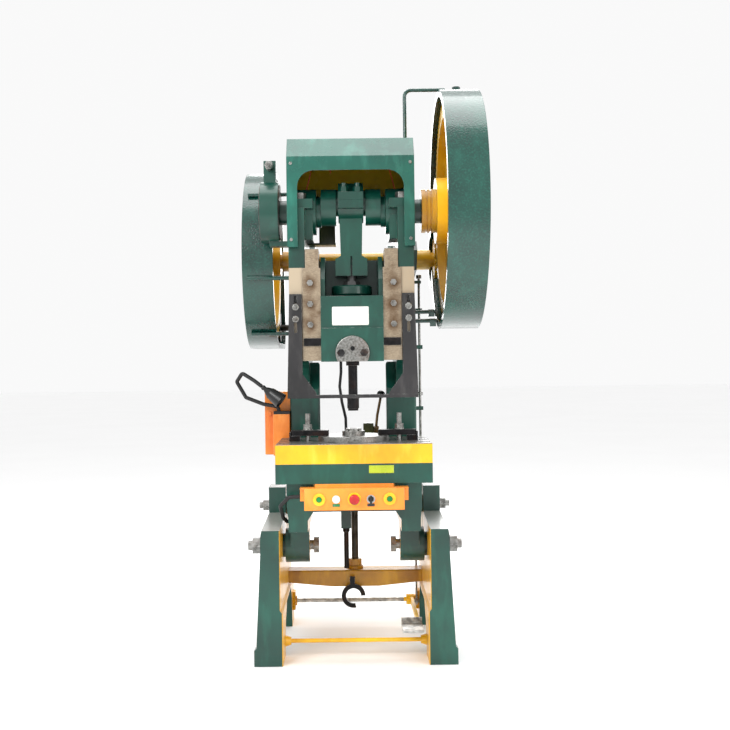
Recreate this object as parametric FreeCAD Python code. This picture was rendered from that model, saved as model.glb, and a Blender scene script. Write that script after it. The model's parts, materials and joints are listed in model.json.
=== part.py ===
import FreeCAD, Part
import math
import os

# Inclinable geared C-frame power press.
# Frame of reference: origin on the floor midway between the four foundation holes,
# +X to the right as the operator faces the press, +Y to the back, +Z up.  Millimetres.

# ---- legs and base -------------------------------------------------------------------
LEG_FRONT, LEG_BACK = -370.0, 370.0
LEG_INNER = 268.0
LEG_TOP_OUTER, LEG_FOOT_OUTER = 333.0, 360.0
FOOT_INNER, FOOT_HEIGHT = 260.0, 57.0
LEG_DECK, LEG_BLOCK_TOP = 483.0, 595.0
LEG_RIM = 26.0
FOUNDATION_HOLE, FOUNDATION_X, FOUNDATION_Y = 24.0, 312.0, 300.0
PIVOT_Y, PIVOT_Z, PIVOT_D, PIVOT_NUT_X = -150.0, 396.0, 36.0, 353.0
LOCK_Y, LOCK_Z, LOCK_D, LOCK_WASHER_D = 60.0, 520.0, 24.0, 50.0
TILT = 30.0
BOLT_FIT, SLOT_FIT = 0.4, 1.5
BEAM_FRONT, BEAM_BACK, BEAM_TOP, BEAM_END_H, BEAM_MID_H = 135.0, 226.0, 245.0, 49.0, 66.0
BEAM_BOLT_D = 20.0
TIE_Y, TIE_Z, TIE_D = -235.0, 58.0, 15.5
SPANNER_X, SPANNER_Z, SPANNER_D, SPANNER_MOUTH = -8.0, 148.0, 95.0, 60.0
SPANNER_STAND, SPANNER_T, SPANNER_PEG_D = 26.0, 12.0, 16.0

# ---- treadle and clutch control ------------------------------------------------------
PEDAL_Y, PEDAL_Z, PEDAL_D = 280.0, 95.0, 18.0
TREAD_X0, TREAD_X1, TREAD_FRONT, TREAD_BACK, TREAD_T = 168.0, 244.0, -345.0, -215.0, 8.0
ROD_X, ROD_Y, ROD_D, ROD_FOOT, ROD_HEAD, ROD_FIT = 275.0, 236.0, 10.0, 628.0, 1434.0, 0.3
LINK_X, LINK_TOP, LINK_PIN_D, LINK_FIT = 250.0, 586.0, 12.0, 0.6

# ---- tilt screw ----------------------------------------------------------------------
SCREW_Y, SCREW_D, SCREW_TUBE_D, SCREW_TUBE_Z = 185.0, 28.0, 34.0, 476.0
SCREW_EYE_Z, SCREW_EYE_R, SCREW_PIN_D, EYE_PLAY = 600.0, 26.0, 20.0, 7.0
SCREW_FOOT_Z, SCREW_LEAN = 205.0, 19.0
NUT_FLATS, NUT_H, DOME_D, DOME_H, DOME_SUNK, SEAT_FIT = 46.0, 26.0, 66.0, 12.0, 20.0, 0.3
BAR_X, BAR_Y, BAR_D, BAR_BOTTOM, BAR_TOP = -34.0, 118.0, 20.0, 257.0, 417.0

# ---- cast C frame --------------------------------------------------------------------
PLATE_IN, PLATE_OUT = 168.0, 226.0
SKIRT_OUT, SKIRT_FRONT, SKIRT_BOTTOM = 238.0, -330.0, 470.0
LUG_R = 63.0
HEAD_FRONT, HEAD_BOTTOM, HEAD_TOP = -320.0, 1086.0, 1690.0
THROAT_Y, THROAT_R = 22.0, 110.0
COLUMN_IN, COLUMN_OUT, COLUMN_DEPTH = 130.0, 247.0, 58.0
TABLE_BOTTOM, TABLE_TOP = 647.5, 718.0
TABLE_FRONT, TABLE_LIP_BACK, TABLE_HALF, TABLE_NECK = -370.0, -130.0, 280.0, 258.0
SLIDE_Y = -185.0
DROP_HOLE = 150.0
WEB_FRONT, WEB_BACK, WEB_TOP = -30.0, 22.0, 1470.0
EDGE_R = 8.0

# ---- crank, gears and back shaft -----------------------------------------------------
CRANK_Z = 1638.0
THROW = 32.5
JOURNAL_D, PIN_D, CHEEK_D = 90.0, 96.0, 135.0
BUSH_WALL, RUN_FIT = 10.0, 0.05
BEARING_IN, BEARING_R = 128.0, 84.0
CHEEK_IN, CHEEK_OUT = 54.0, 110.0
MODULE, GEAR_TEETH, PINION_TEETH = 8.0, 98, 20
BACK_DROP = 140.0
GEAR_X0, GEAR_X1 = 345.0, 440.0
CLUTCH_X0, HUB_X0, HUB_X1 = 260.0, 314.0, 462.0
CLUTCH_D, HUB_D = 161.0, 243.0
BACK_SHAFT_D = 60.0
FLYWHEEL_D, FLY_X0, FLY_X1 = 660.0, -402.0, -314.0
BELT_PITCH, BELT_COUNT, BELT_TOP_W, BELT_DEPTH = 19.0, 4, 13.0, 10.0
PULLEY_D = 125.0
MOTOR_Y, MOTOR_Z, MOTOR_R, MOTOR_END = 600.0, 1235.0, 98.0, 244.0
MOTOR_FOOT_Y, BRACKET_T, BRACKET_Y, BRACKET_BAR_H = 488.0, 16.0, 354.0, 60.0
BRACKET_BARS = (1130.0, 1280.0)
STRAP_LIFT, STRAP_T_GUARD, RISER_X, RISER_D = 0.2, 6.0, 205.0, 14.0
GUARD_SHEET, GEAR_GUARD_R, FLY_GUARD_R = 3.0, 438.0, 357.0
GEAR_GUARD_X0, GEAR_GUARD_X1 = 325.0, 466.0
FLY_GUARD_X0, FLY_GUARD_X1 = -418.0, -300.0
BRAKE_X0, BRAKE_X1, DRUM_D, LINING = -335.0, -262.0, 206.0, 9.0

# ---- slide (ram), connecting rod and guides ------------------------------------------
RAM_HALF, RAM_FRONT, RAM_BACK = 112.5, -342.0, -62.0
RAM_BOTTOM, RAM_FACE_TOP, RAM_TOP = 1082.0, 1318.0, 1465.0
RAM_TONGUE, TONGUE_FRONT, TONGUE_BACK = 135.0, -202.0, -118.0
GUIDE_FIT = 0.1
GIB_OUT, GIB_FRONT, GIB_TOP = 178.0, -326.0, 1420.0
POCKET_HALF = 97.0
BALL_SEAT_D, BALL_SEAT_H, SEAT_GAP = 150.0, 36.0, 8.0
ROD_HALF, ROD_BLOCK_HALF = 42.0, 59.0
BIG_END_R = 74.0
SHANK_D, SHANK_DEPTH, CLAMP_R, CLAMP_DEPTH = 40.0, 60.0, 61.0, 7.0
KNOCK_HALF_H, KNOCK_REACH, KNOCK_T, KNOCK_Z, KNOCK_LIFT = 14.0, 62.0, 5.0, 1139.0, 22.0
KNOCK_Y = RAM_FRONT + CLAMP_DEPTH + 2

# ---- table tooling -------------------------------------------------------------------
BOLSTER_TOP, BOLSTER_BACK = 788.6, 0.0
T_SLOT_W, T_SLOT_Y = 22.0, 105.0
DISC_D, DISC_H = 262.0, 20.0
STRAP_X0, STRAP_X1, STRAP_W, STRAP_T = 92.0, 232.0, 46.0, 20.0
STUD_X, STUD_D, STUD_TOP = 170.0, 18.0, 890.0

# ---- covers, electrics and controls --------------------------------------------------
HOOD_SHEET, HOOD_HALF, HOOD_FRONT = 3.0, 229.0, -345.0
HOOD_BOTTOM, HOOD_SHOULDER, HOOD_TOP = 1494.0, 1818.0, 1892.0
ARCH_HALF, ARCH_TOP, ARCH_R = 191.0, 1768.0, 60.0
PANEL_HALF, PANEL_Z0, PANEL_Z1, PANEL_FRONT = 176.5, 560.0, 638.0, -422.0
CONTROL_Z = 599.0
BUTTON_X, LAMP_X, STOP_X, KEY_X = 124.0, -64.0, 0.0, 58.0
CABINET_X0, CABINET_X1, CABINET_Y0, CABINET_Y1 = -349.0, -248.0, 60.0, 230.0
CABINET_Z0, CABINET_Z1, DOOR_T = 719.0, 966.0, 36.0
JUNCTION_FRONT, JUNCTION_TOP = 6.0, 880.0
NECK_D = 15.0
CABLE_D, CABLE_LIFT = 11.0, 1.2
LAMP_JOINT = FreeCAD.Vector(-348.0, 2.0, 984.0)
LAMP_AXIS = FreeCAD.Vector(0.79, -0.16, -0.6).normalize()
LAMP_BALL_R = 10.0


# ---- small modelling helpers ---------------------------------------------------------
def vec(x, y, z):
    return FreeCAD.Vector(x, y, z)


def box(x0, x1, y0, y1, z0, z1):
    return Part.makeBox(x1 - x0, y1 - y0, z1 - z0, vec(x0, y0, z0))


def rod_x(d, x0, x1, y, z):
    return Part.makeCylinder(d / 2, x1 - x0, vec(x0, y, z), vec(1, 0, 0))


def rod_y(d, y0, y1, x, z):
    return Part.makeCylinder(d / 2, y1 - y0, vec(x, y0, z), vec(0, 1, 0))


def rod_z(d, z0, z1, x, y):
    return Part.makeCylinder(d / 2, z1 - z0, vec(x, y, z0), vec(0, 0, 1))


def prism_x(points, x0, x1):
    """Outline of (y, z) points extruded from x0 to x1."""
    wire = Part.makePolygon([vec(x0, y, z) for y, z in points + points[:1]])
    return Part.Face(wire).extrude(vec(x1 - x0, 0, 0))


def prism_y(points, y0, y1):
    """Outline of (x, z) points extruded from y0 to y1."""
    wire = Part.makePolygon([vec(x, y0, z) for x, z in points + points[:1]])
    return Part.Face(wire).extrude(vec(0, y1 - y0, 0))


def prism_z(points, z0, z1):
    """Outline of (x, y) points extruded from z0 to z1."""
    wire = Part.makePolygon([vec(x, y, z0) for x, y in points + points[:1]])
    return Part.Face(wire).extrude(vec(0, 0, z1 - z0))


def hexagon(flats, turn=0.0):
    radius = flats / math.sqrt(3)
    return [(radius * math.cos(math.radians(60 * k + turn)), radius * math.sin(math.radians(60 * k + turn)))
            for k in range(6)]


def nut_x(flats, x0, x1, y, z):
    return prism_x([(y + a, z + b) for a, b in hexagon(flats)], x0, x1)


def nut_y(flats, y0, y1, x, z):
    return prism_y([(x + a, z + b) for a, b in hexagon(flats)], y0, y1)


def nut_z(flats, z0, z1, x, y):
    return prism_z([(x + a, y + b) for a, b in hexagon(flats)], z0, z1)


def join(shapes):
    result = shapes[0].fuse(shapes[1:]) if len(shapes) > 1 else shapes[0]
    return result.removeSplitter()


def carve(shape, tools):
    return shape.cut(tools).removeSplitter()


def mirrored(shape):
    return shape.mirror(vec(0, 0, 0), vec(1, 0, 0))


def both_sides(shapes):
    return shapes + [mirrored(s) for s in shapes]


def group(solids):
    return Part.makeCompound(solids)


def rounded(shape, radius, picks):
    """Round the edges that picks(edge) accepts; the radius stays under the wall it is on."""
    edges = [e for e in shape.Edges if picks(e)]
    return shape.makeFillet(radius, edges) if edges else shape


def along(edge, axis):
    box_ = edge.BoundBox
    lengths = {"x": box_.XLength, "y": box_.YLength, "z": box_.ZLength}
    own = lengths.pop(axis)
    return own > 1 and all(v < 0.01 for v in lengths.values())


def tube_path(points, radius, d):
    """Round tube along straight runs joined by tangent arcs of one radius."""
    spots = [vec(*p) for p in points]
    edges = []
    start = spots[0]
    for before, corner, after in zip(spots, spots[1:], spots[2:]):
        a = (before - corner).normalize()
        b = (after - corner).normalize()
        half = math.acos(max(-1, min(1, a.dot(b)))) / 2
        step = radius / math.tan(half)
        first = corner + a * step
        last = corner + b * step
        middle = corner + (a + b).normalize() * (radius / math.sin(half) - radius)
        edges.append(Part.LineSegment(start, first).toShape())
        edges.append(Part.Arc(first, middle, last).toShape())
        start = last
    edges.append(Part.LineSegment(start, spots[-1]).toShape())
    profile = Part.Wire(Part.makeCircle(d / 2, spots[0], (spots[1] - spots[0]).normalize()))
    return Part.Wire(edges).makePipeShell([profile], True, False)


def turned_x(points, y, z):
    """Solid of revolution about the X axis through (y, z); points are (x, radius)."""
    wire = Part.makePolygon([vec(x, y, z + r) for x, r in points + points[:1]])
    return Part.Face(wire).revolve(vec(0, y, z), vec(1, 0, 0), 360)


def rotated_x(shape, angle, y, z):
    turned = shape.copy()
    turned.rotate(vec(0, y, z), vec(1, 0, 0), angle)
    return turned


BACK_Y = SLIDE_Y + math.sqrt((MODULE * (GEAR_TEETH + PINION_TEETH) / 2) ** 2 - BACK_DROP ** 2)
BACK_Z = CRANK_Z - BACK_DROP
LOCK_RADIUS = math.hypot(LOCK_Y - PIVOT_Y, LOCK_Z - PIVOT_Z)
LOCK_ANGLE = math.degrees(math.atan2(LOCK_Z - PIVOT_Z, LOCK_Y - PIVOT_Y))


# ---- base ----------------------------------------------------------------------------
def lock_slot(width, x0, x1):
    """Arc slot of the given width that the lock bolt follows as the frame tilts back."""
    ring = rod_x(2 * LOCK_RADIUS + width, x0, x1, PIVOT_Y, PIVOT_Z)
    ring = ring.cut(rod_x(2 * LOCK_RADIUS - width, x0, x1, PIVOT_Y, PIVOT_Z))
    reach = 2 * LOCK_RADIUS
    rays = [math.radians(LOCK_ANGLE), math.radians(LOCK_ANGLE - TILT)]
    wedge = [(PIVOT_Y, PIVOT_Z)]
    wedge += [(PIVOT_Y + reach * math.cos(a), PIVOT_Z + reach * math.sin(a)) for a in rays]
    ends = [rod_x(width, x0, x1, PIVOT_Y + LOCK_RADIUS * math.cos(a), PIVOT_Z + LOCK_RADIUS * math.sin(a))
            for a in rays]
    return join([ring.common(prism_x(wedge, x0, x1))] + ends)


def leg_outline():
    return [(LEG_FRONT, 0), (LEG_FRONT, LEG_DECK), (THROAT_Y - 12, LEG_DECK + 13),
            (THROAT_Y - 12, LEG_BLOCK_TOP), (125, LEG_BLOCK_TOP), (300, 330),
            (LEG_BACK, 180), (LEG_BACK, 0), (225, 0), (205, 120), (150, 178),
            (-110, 178), (-190, 120), (-222, 0)]


def leg():
    """Right-hand cast leg; the left one is its mirror image."""
    slope = (LEG_FOOT_OUTER - LEG_TOP_OUTER) / LEG_DECK
    body = prism_x(leg_outline(), FOOT_INNER, LEG_FOOT_OUTER + 10)
    beam_bottom = BEAM_TOP - BEAM_END_H
    section = [(LEG_INNER, LEG_BLOCK_TOP + 5), (LEG_INNER, beam_bottom), (FOOT_INNER, beam_bottom - 11),
               (FOOT_INNER, 0),
               (LEG_FOOT_OUTER + 3, 0), (LEG_FOOT_OUTER + 3, FOOT_HEIGHT), (LEG_FOOT_OUTER - 5, FOOT_HEIGHT + 8),
               (LEG_TOP_OUTER + slope * 80, LEG_DECK - 80), (LEG_TOP_OUTER, LEG_DECK),
               (LEG_TOP_OUTER, LEG_BLOCK_TOP + 5)]
    body = body.common(prism_y(section, LEG_FRONT, LEG_BACK))
    body = rounded(body, 6, lambda e: along(e, "z") and e.BoundBox.ZLength > 100)
    pocket = [(LEG_FRONT + LEG_RIM, FOOT_HEIGHT + LEG_RIM), (LEG_FRONT + LEG_RIM, LEG_DECK - LEG_RIM),
              (-245, LEG_DECK - LEG_RIM), (-245, 330), (-180, 260), (-180, 205), (-225, 150),
              (-245, FOOT_HEIGHT + LEG_RIM)]
    body = carve(body, [prism_x(pocket, LEG_INNER + LEG_RIM, LEG_FOOT_OUTER + 10)])
    pads = [rod_x(96, LEG_INNER + 2, PIVOT_NUT_X, PIVOT_Y, PIVOT_Z)]
    pads += [rod_x(54, LEG_INNER + 2, 352, y, BEAM_TOP - BEAM_END_H / 2) for y in beam_bolts()]
    body = join([body] + pads)
    bores = [rod_x(PIVOT_D + 2 * BOLT_FIT, FOOT_INNER - 1, 400, PIVOT_Y, PIVOT_Z),
             lock_slot(LOCK_D + 2 * SLOT_FIT, FOOT_INNER, 400),
             lock_slot(LOCK_WASHER_D + 8, LEG_TOP_OUTER, 400)]
    bores += [rod_x(BEAM_BOLT_D + 2 * BOLT_FIT, FOOT_INNER - 1, 400, y, BEAM_TOP - BEAM_END_H / 2)
              for y in beam_bolts()]
    bores += [rod_x(TIE_D + 2 * BOLT_FIT, FOOT_INNER - 1, 400, TIE_Y, TIE_Z)]
    bores += [rod_z(FOUNDATION_HOLE, -1, FOOT_HEIGHT + 1, FOUNDATION_X, s * FOUNDATION_Y) for s in (-1, 1)]
    bores += [box(FOUNDATION_X - 26, LEG_FOOT_OUTER + 10, s * FOUNDATION_Y - 26, s * FOUNDATION_Y + 26,
                  FOOT_HEIGHT - 25, FOOT_HEIGHT + 45) for s in (-1, 1)]
    return carve(body, bores)


def beam_bolts():
    return (BEAM_FRONT + 18, BEAM_BACK - 18)


def cross_beam():
    """Fish-belly cross member with the slot that the tilt screw passes through."""
    end = LEG_INNER
    bottom = BEAM_TOP - BEAM_END_H
    outline = [(-end, BEAM_TOP), (end, BEAM_TOP), (end, bottom), (end * 0.35, BEAM_TOP - BEAM_MID_H),
               (-end * 0.35, BEAM_TOP - BEAM_MID_H), (-end, bottom)]
    body = prism_y(outline, BEAM_FRONT, BEAM_BACK)
    body = rounded(body, 7, lambda e: e.BoundBox.XLength > 50)
    half = SCREW_D / 2 + 2
    lean = BEAM_MID_H * math.tan(math.radians(SCREW_LEAN)) + 3
    slot = prism_x([(SCREW_Y - half, BEAM_TOP + 1), (SCREW_Y - half - lean, BEAM_TOP - BEAM_MID_H - 1),
                    (SCREW_Y + half, BEAM_TOP - BEAM_MID_H - 1), (SCREW_Y + half, BEAM_TOP + 1)], -half, half)
    bowl = Part.makeSphere(DOME_D / 2 + SEAT_FIT, vec(0, SCREW_Y, BEAM_TOP))
    holes = [rod_x(BEAM_BOLT_D, s * end - 40, s * end + 40, y, BEAM_TOP - BEAM_END_H / 2)
             for s in (-1, 1) for y in beam_bolts()]
    return carve(body, [slot, bowl] + holes)


def beam_screws():
    z = BEAM_TOP - BEAM_END_H / 2
    screws = [join([rod_x(BEAM_BOLT_D, LEG_INNER - 38, 352, y, z), nut_x(30, 352, 365, y, z)])
              for y in beam_bolts()]
    return both_sides(screws)


def tie_rod():
    rod = rod_x(TIE_D, -344, 344, TIE_Y, TIE_Z)
    cones = [Part.makeCone(21, 14, 22, vec(FOOT_INNER, TIE_Y, TIE_Z), vec(-1, 0, 0))]
    return join([rod] + both_sides(cones))


def base_fittings():
    """Pivot bolts, cross-beam screws, pedal-shaft brackets and the spanner hung on the beam."""
    shank = rod_x(PIVOT_D, PLATE_IN - 14, 400, PIVOT_Y, PIVOT_Z)
    head = nut_x(54, PLATE_IN - 34, PLATE_IN - 14, PIVOT_Y, PIVOT_Z)
    nut = nut_x(56, PIVOT_NUT_X, PIVOT_NUT_X + 30, PIVOT_Y, PIVOT_Z)
    bolts = both_sides([join([shank, head, nut])]) + beam_screws()
    return group(bolts + pedal_brackets() + [hook_spanner()])


def pedal_brackets():
    """Two small plummer brackets on the inner faces of the legs for the pedal shaft."""
    plate = box(FOOT_INNER - 12, FOOT_INNER, PEDAL_Y - 28, PEDAL_Y + 28, PEDAL_Z - 34, PEDAL_Z + 40)
    boss = rod_x(40, FOOT_INNER - 18, FOOT_INNER, PEDAL_Y, PEDAL_Z)
    body = carve(join([plate, boss]), [rod_x(PEDAL_D + 2 * RUN_FIT, 0, FOOT_INNER - 6, PEDAL_Y, PEDAL_Z)])
    return both_sides([body])


def hook_spanner():
    """C spanner hung on a peg in front of the cross beam, clear of the leaning tilt screw."""
    y = BEAM_FRONT - SPANNER_STAND
    t = SPANNER_T / 2
    ring = rod_y(SPANNER_D, y - t, y + t, SPANNER_X, SPANNER_Z)
    ring = ring.cut(rod_y(SPANNER_MOUTH, y - t - 1, y + t + 1, SPANNER_X, SPANNER_Z))
    mouth = [(SPANNER_X, SPANNER_Z), (SPANNER_X + 88, SPANNER_Z + 2), (SPANNER_X + 68, SPANNER_Z - 68),
             (SPANNER_X + 13, SPANNER_Z - 58)]
    ring = ring.cut(prism_y(mouth, y - t - 1, y + t + 1))
    shank = box(SPANNER_X - 14, SPANNER_X + 6, y - t, y + t, SPANNER_Z + 37, BEAM_TOP - 20)
    return join([ring, shank, rod_y(SPANNER_PEG_D, y, BEAM_FRONT, SPANNER_X - 4, BEAM_TOP - 33)])


def hanging_bar():
    """Tommy bar for the tilt nut, hung under the rear web of the frame."""
    collar = rod_z(BAR_D + 8, BAR_TOP - 14, BAR_TOP, BAR_X, BAR_Y)
    return join([rod_z(BAR_D, BAR_BOTTOM, BAR_TOP, BAR_X, BAR_Y), collar])


# ---- tilt screw ----------------------------------------------------------------------
def tilt_nut():
    ball = Part.makeSphere(DOME_D / 2, vec(0, SCREW_Y, BEAM_TOP))
    dome = ball.common(box(-50, 50, SCREW_Y - 50, SCREW_Y + 50, BEAM_TOP - DOME_SUNK, BEAM_TOP + DOME_H))
    nut = nut_z(NUT_FLATS, BEAM_TOP + DOME_H, BEAM_TOP + DOME_H + NUT_H, 0, SCREW_Y)
    return carve(join([dome, nut]), [rod_z(SCREW_D + 2 * RUN_FIT, 0, 400, 0, SCREW_Y)])


def tilt_screw():
    thread = rod_z(SCREW_D, SCREW_FOOT_Z, SCREW_TUBE_Z + 20, 0, SCREW_Y)
    tube = rod_z(SCREW_TUBE_D, SCREW_TUBE_Z, SCREW_EYE_Z, 0, SCREW_Y)
    eye = rod_x(2 * SCREW_EYE_R, -17, 17, SCREW_Y, SCREW_EYE_Z)
    bore = rod_x(SCREW_PIN_D + 2 * EYE_PLAY, -30, 30, SCREW_Y, SCREW_EYE_Z)
    return carve(join([thread, tube, eye]), [bore])


# ---- cast frame ----------------------------------------------------------------------
def frame_outline():
    arc = [(THROAT_Y - THROAT_R + THROAT_R * math.cos(math.radians(a)),
            HEAD_BOTTOM - THROAT_R + THROAT_R * math.sin(math.radians(a))) for a in range(0, 91, 15)]
    return ([(SKIRT_FRONT, SKIRT_BOTTOM), (SKIRT_FRONT, TABLE_TOP), (THROAT_Y, TABLE_TOP)] + arc
            + [(HEAD_FRONT, HEAD_BOTTOM), (HEAD_FRONT, CRANK_Z), (-60, CRANK_Z), (-30, HEAD_TOP), (150, HEAD_TOP),
               (345, 1600), (360, 1400), (330, 1180), (330, 900), (255, 640), (170, SKIRT_BOTTOM)])


def c_frame():
    """The frame casting: side plates, table, head web, guide blocks and bearing seats."""
    plate = prism_x(frame_outline(), PLATE_IN, PLATE_OUT)
    column = prism_x([(THROAT_Y, TABLE_TOP), (THROAT_Y, HEAD_BOTTOM - THROAT_R), (THROAT_Y + COLUMN_DEPTH, 1080),
                      (THROAT_Y + COLUMN_DEPTH, 640), (THROAT_Y, 640)], COLUMN_IN, COLUMN_OUT)
    column = rounded(column, EDGE_R, lambda e: along(e, "z"))
    rear_rib = prism_x([(270, 660), (330, 900), (330, 1180), (300, 1180), (300, 900), (250, 700)],
                       PLATE_OUT - 2, COLUMN_OUT)
    ledge = prism_y([(147, TABLE_BOTTOM), (243, TABLE_BOTTOM), (243, 560), (SKIRT_OUT, 512), (PLATE_IN, 512),
                     (147, 545)], SKIRT_FRONT, THROAT_Y)
    skirt = prism_x([(SKIRT_FRONT, SKIRT_BOTTOM), (SKIRT_FRONT, 640), (200, 640), (170, SKIRT_BOTTOM)],
                    PLATE_IN, SKIRT_OUT)
    lug = join([rod_x(2 * LUG_R, PLATE_IN, LEG_INNER - 10, PIVOT_Y, PIVOT_Z),
                box(PLATE_IN, SKIRT_OUT, PIVOT_Y - LUG_R, PIVOT_Y + LUG_R, PIVOT_Z, SKIRT_BOTTOM + 5)])
    bosses = [rod_x(88, SKIRT_OUT - 5, LEG_INNER, PIVOT_Y, PIVOT_Z),
              rod_x(70, SKIRT_OUT - 5, LEG_INNER, LOCK_Y, LOCK_Z)]
    housing = rod_x(2 * BEARING_R, BEARING_IN, PLATE_OUT + 8, SLIDE_Y, CRANK_Z)
    housing = housing.common(box(0, 400, -400, 100, 1400, CRANK_Z))
    cheek = prism_x([(SLIDE_Y - 70, 1530), (SLIDE_Y + 70, 1530), (SLIDE_Y + BEARING_R, CRANK_Z - 20),
                     (SLIDE_Y - BEARING_R, CRANK_Z - 20)], BEARING_IN + 12, PLATE_IN + 5)
    back_boss = rod_x(124, PLATE_IN - 20, CLUTCH_X0 - 4, BACK_Y, BACK_Z)
    guide = join([box(RAM_TONGUE + GUIDE_FIT, PLATE_IN + 2, TONGUE_FRONT, TONGUE_BACK, HEAD_BOTTOM, GIB_TOP),
                  box(RAM_HALF + GUIDE_FIT, PLATE_IN + 2, TONGUE_BACK, WEB_FRONT + 2, HEAD_BOTTOM, GIB_TOP)])
    half = join([plate, column, rear_rib, ledge, skirt, lug] + bosses + [housing, cheek, back_boss, guide])
    half = carve(half, [box(0, GIB_OUT, HEAD_FRONT - 1, TONGUE_FRONT, HEAD_BOTTOM - 1, GIB_TOP + 0.5),
                        box(PLATE_IN - 1, PLATE_OUT - 12, 120, 300, 760, 1060),
                        rod_x(JOURNAL_D + 2 * BUSH_WALL, 100, 300, SLIDE_Y, CRANK_Z),
                        rod_x(BACK_SHAFT_D + 2 * BUSH_WALL, 100, 300, BACK_Y, BACK_Z),
                        rod_x(PIVOT_D + 2 * RUN_FIT, 100, 300, PIVOT_Y, PIVOT_Z),
                        rod_x(LOCK_D, 200, 300, LOCK_Y, LOCK_Z)])
    table = join([box(-TABLE_NECK, TABLE_NECK, TABLE_FRONT, 60, TABLE_BOTTOM, TABLE_TOP),
                  box(-SKIRT_OUT, SKIRT_OUT, 59, 190, TABLE_BOTTOM, TABLE_TOP),
                  box(-TABLE_HALF, TABLE_HALF, TABLE_FRONT, TABLE_LIP_BACK, TABLE_BOTTOM, TABLE_TOP)])
    web = box(-PLATE_IN - 2, PLATE_IN + 2, WEB_FRONT, WEB_BACK, HEAD_BOTTOM + 8, WEB_TOP)
    top = box(-PLATE_IN - 2, PLATE_IN + 2, -20, 140, HEAD_TOP - 22, HEAD_TOP)
    rear_web = join([box(-PLATE_IN - 2, PLATE_IN + 2, 105, 135, 484, TABLE_BOTTOM + 5),
                     box(BAR_X - 20, BAR_X + 20, 105, 135, BAR_TOP, 485)])
    fork = [box(s * 27 - 8, s * 27 + 8, 130, SCREW_Y + 26, SCREW_EYE_Z - 30, TABLE_BOTTOM + 5) for s in (-1, 1)]
    body = join([half, mirrored(half), table, web, top, rear_web] + fork)
    pads = [box(PLATE_OUT - 15, PLATE_OUT, 300, BRACKET_Y, z, z + BRACKET_BAR_H) for z in BRACKET_BARS]
    body = join([body] + both_sides(pads))
    tool_clear = [rod_z(DROP_HOLE, TABLE_BOTTOM - 1, TABLE_TOP + 1, 0, SLIDE_Y),
                  rod_x(SCREW_PIN_D, -40, 40, SCREW_Y, SCREW_EYE_Z)]
    return carve(body, tool_clear)


def fork_pin():
    return rod_x(SCREW_PIN_D, -35, 35, SCREW_Y, SCREW_EYE_Z)


def lock_bolts():
    shank = rod_x(LOCK_D, SKIRT_OUT - 36, 374, LOCK_Y, LOCK_Z)
    nut = nut_x(38, LEG_TOP_OUTER + 4, LEG_TOP_OUTER + 26, LOCK_Y, LOCK_Z)
    washer = rod_x(LOCK_WASHER_D, LEG_TOP_OUTER, LEG_TOP_OUTER + 4, LOCK_Y, LOCK_Z)
    return both_sides([join([shank, nut, washer])])


# ---- bearings and crank --------------------------------------------------------------
def bearing_caps():
    cap = rod_x(2 * BEARING_R, BEARING_IN, PLATE_OUT, SLIDE_Y, CRANK_Z)
    feet = box(BEARING_IN + 10, PLATE_OUT, SLIDE_Y - 124, SLIDE_Y + 118, CRANK_Z, CRANK_Z + 34)
    body = join([cap, feet]).common(box(0, 400, -400, 100, CRANK_Z, CRANK_Z + 200))
    body = carve(body, [rod_x(JOURNAL_D + 2 * BUSH_WALL, 100, 300, SLIDE_Y, CRANK_Z)])
    return group(both_sides([body]))


def cap_screws():
    x = (BEARING_IN + PLATE_OUT) / 2 + 5
    return both_sides([nut_z(36, CRANK_Z + 34, CRANK_Z + 56, x, SLIDE_Y + s * 104) for s in (-1, 1)])


def bearing_bushes():
    crank = rod_x(JOURNAL_D + 2 * BUSH_WALL, BEARING_IN, PLATE_OUT + 8, SLIDE_Y, CRANK_Z)
    crank = crank.cut(rod_x(JOURNAL_D + 2 * RUN_FIT, 100, 300, SLIDE_Y, CRANK_Z))
    back = rod_x(BACK_SHAFT_D + 2 * BUSH_WALL, PLATE_IN - 20, CLUTCH_X0 - 4, BACK_Y, BACK_Z)
    back = back.cut(rod_x(BACK_SHAFT_D + 2 * RUN_FIT, 100, 300, BACK_Y, BACK_Z))
    return group(both_sides([crank, back]))


def crankshaft():
    """One forging at top dead centre: journals, cheeks, crank pin and both shaft ends."""
    pin_z = CRANK_Z + THROW
    pin = rod_x(PIN_D, -CHEEK_IN - 2, CHEEK_IN + 2, SLIDE_Y, pin_z)
    cheek = rod_x(CHEEK_D, CHEEK_IN, CHEEK_OUT, SLIDE_Y, CRANK_Z + THROW / 2)
    shoulder = rod_x(JOURNAL_D + 24, CHEEK_OUT, BEARING_IN - 0.5, SLIDE_Y, CRANK_Z)
    left = rod_x(JOURNAL_D, BRAKE_X0 - 6, -CHEEK_OUT + 2, SLIDE_Y, CRANK_Z)
    right = rod_x(JOURNAL_D, CHEEK_OUT - 2, HUB_X1 + 2, SLIDE_Y, CRANK_Z)
    return join([pin, left, right] + both_sides([cheek, shoulder]))


def brake_drum():
    rim = turned_x([(BRAKE_X0, JOURNAL_D / 2), (BRAKE_X0, 64), (BRAKE_X0 + 26, 64), (BRAKE_X0 + 26, DRUM_D / 2 - 14),
                    (BRAKE_X0, DRUM_D / 2 - 14), (BRAKE_X0, DRUM_D / 2), (BRAKE_X1, DRUM_D / 2),
                    (BRAKE_X1, JOURNAL_D / 2)], SLIDE_Y, CRANK_Z)
    return rim


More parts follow.
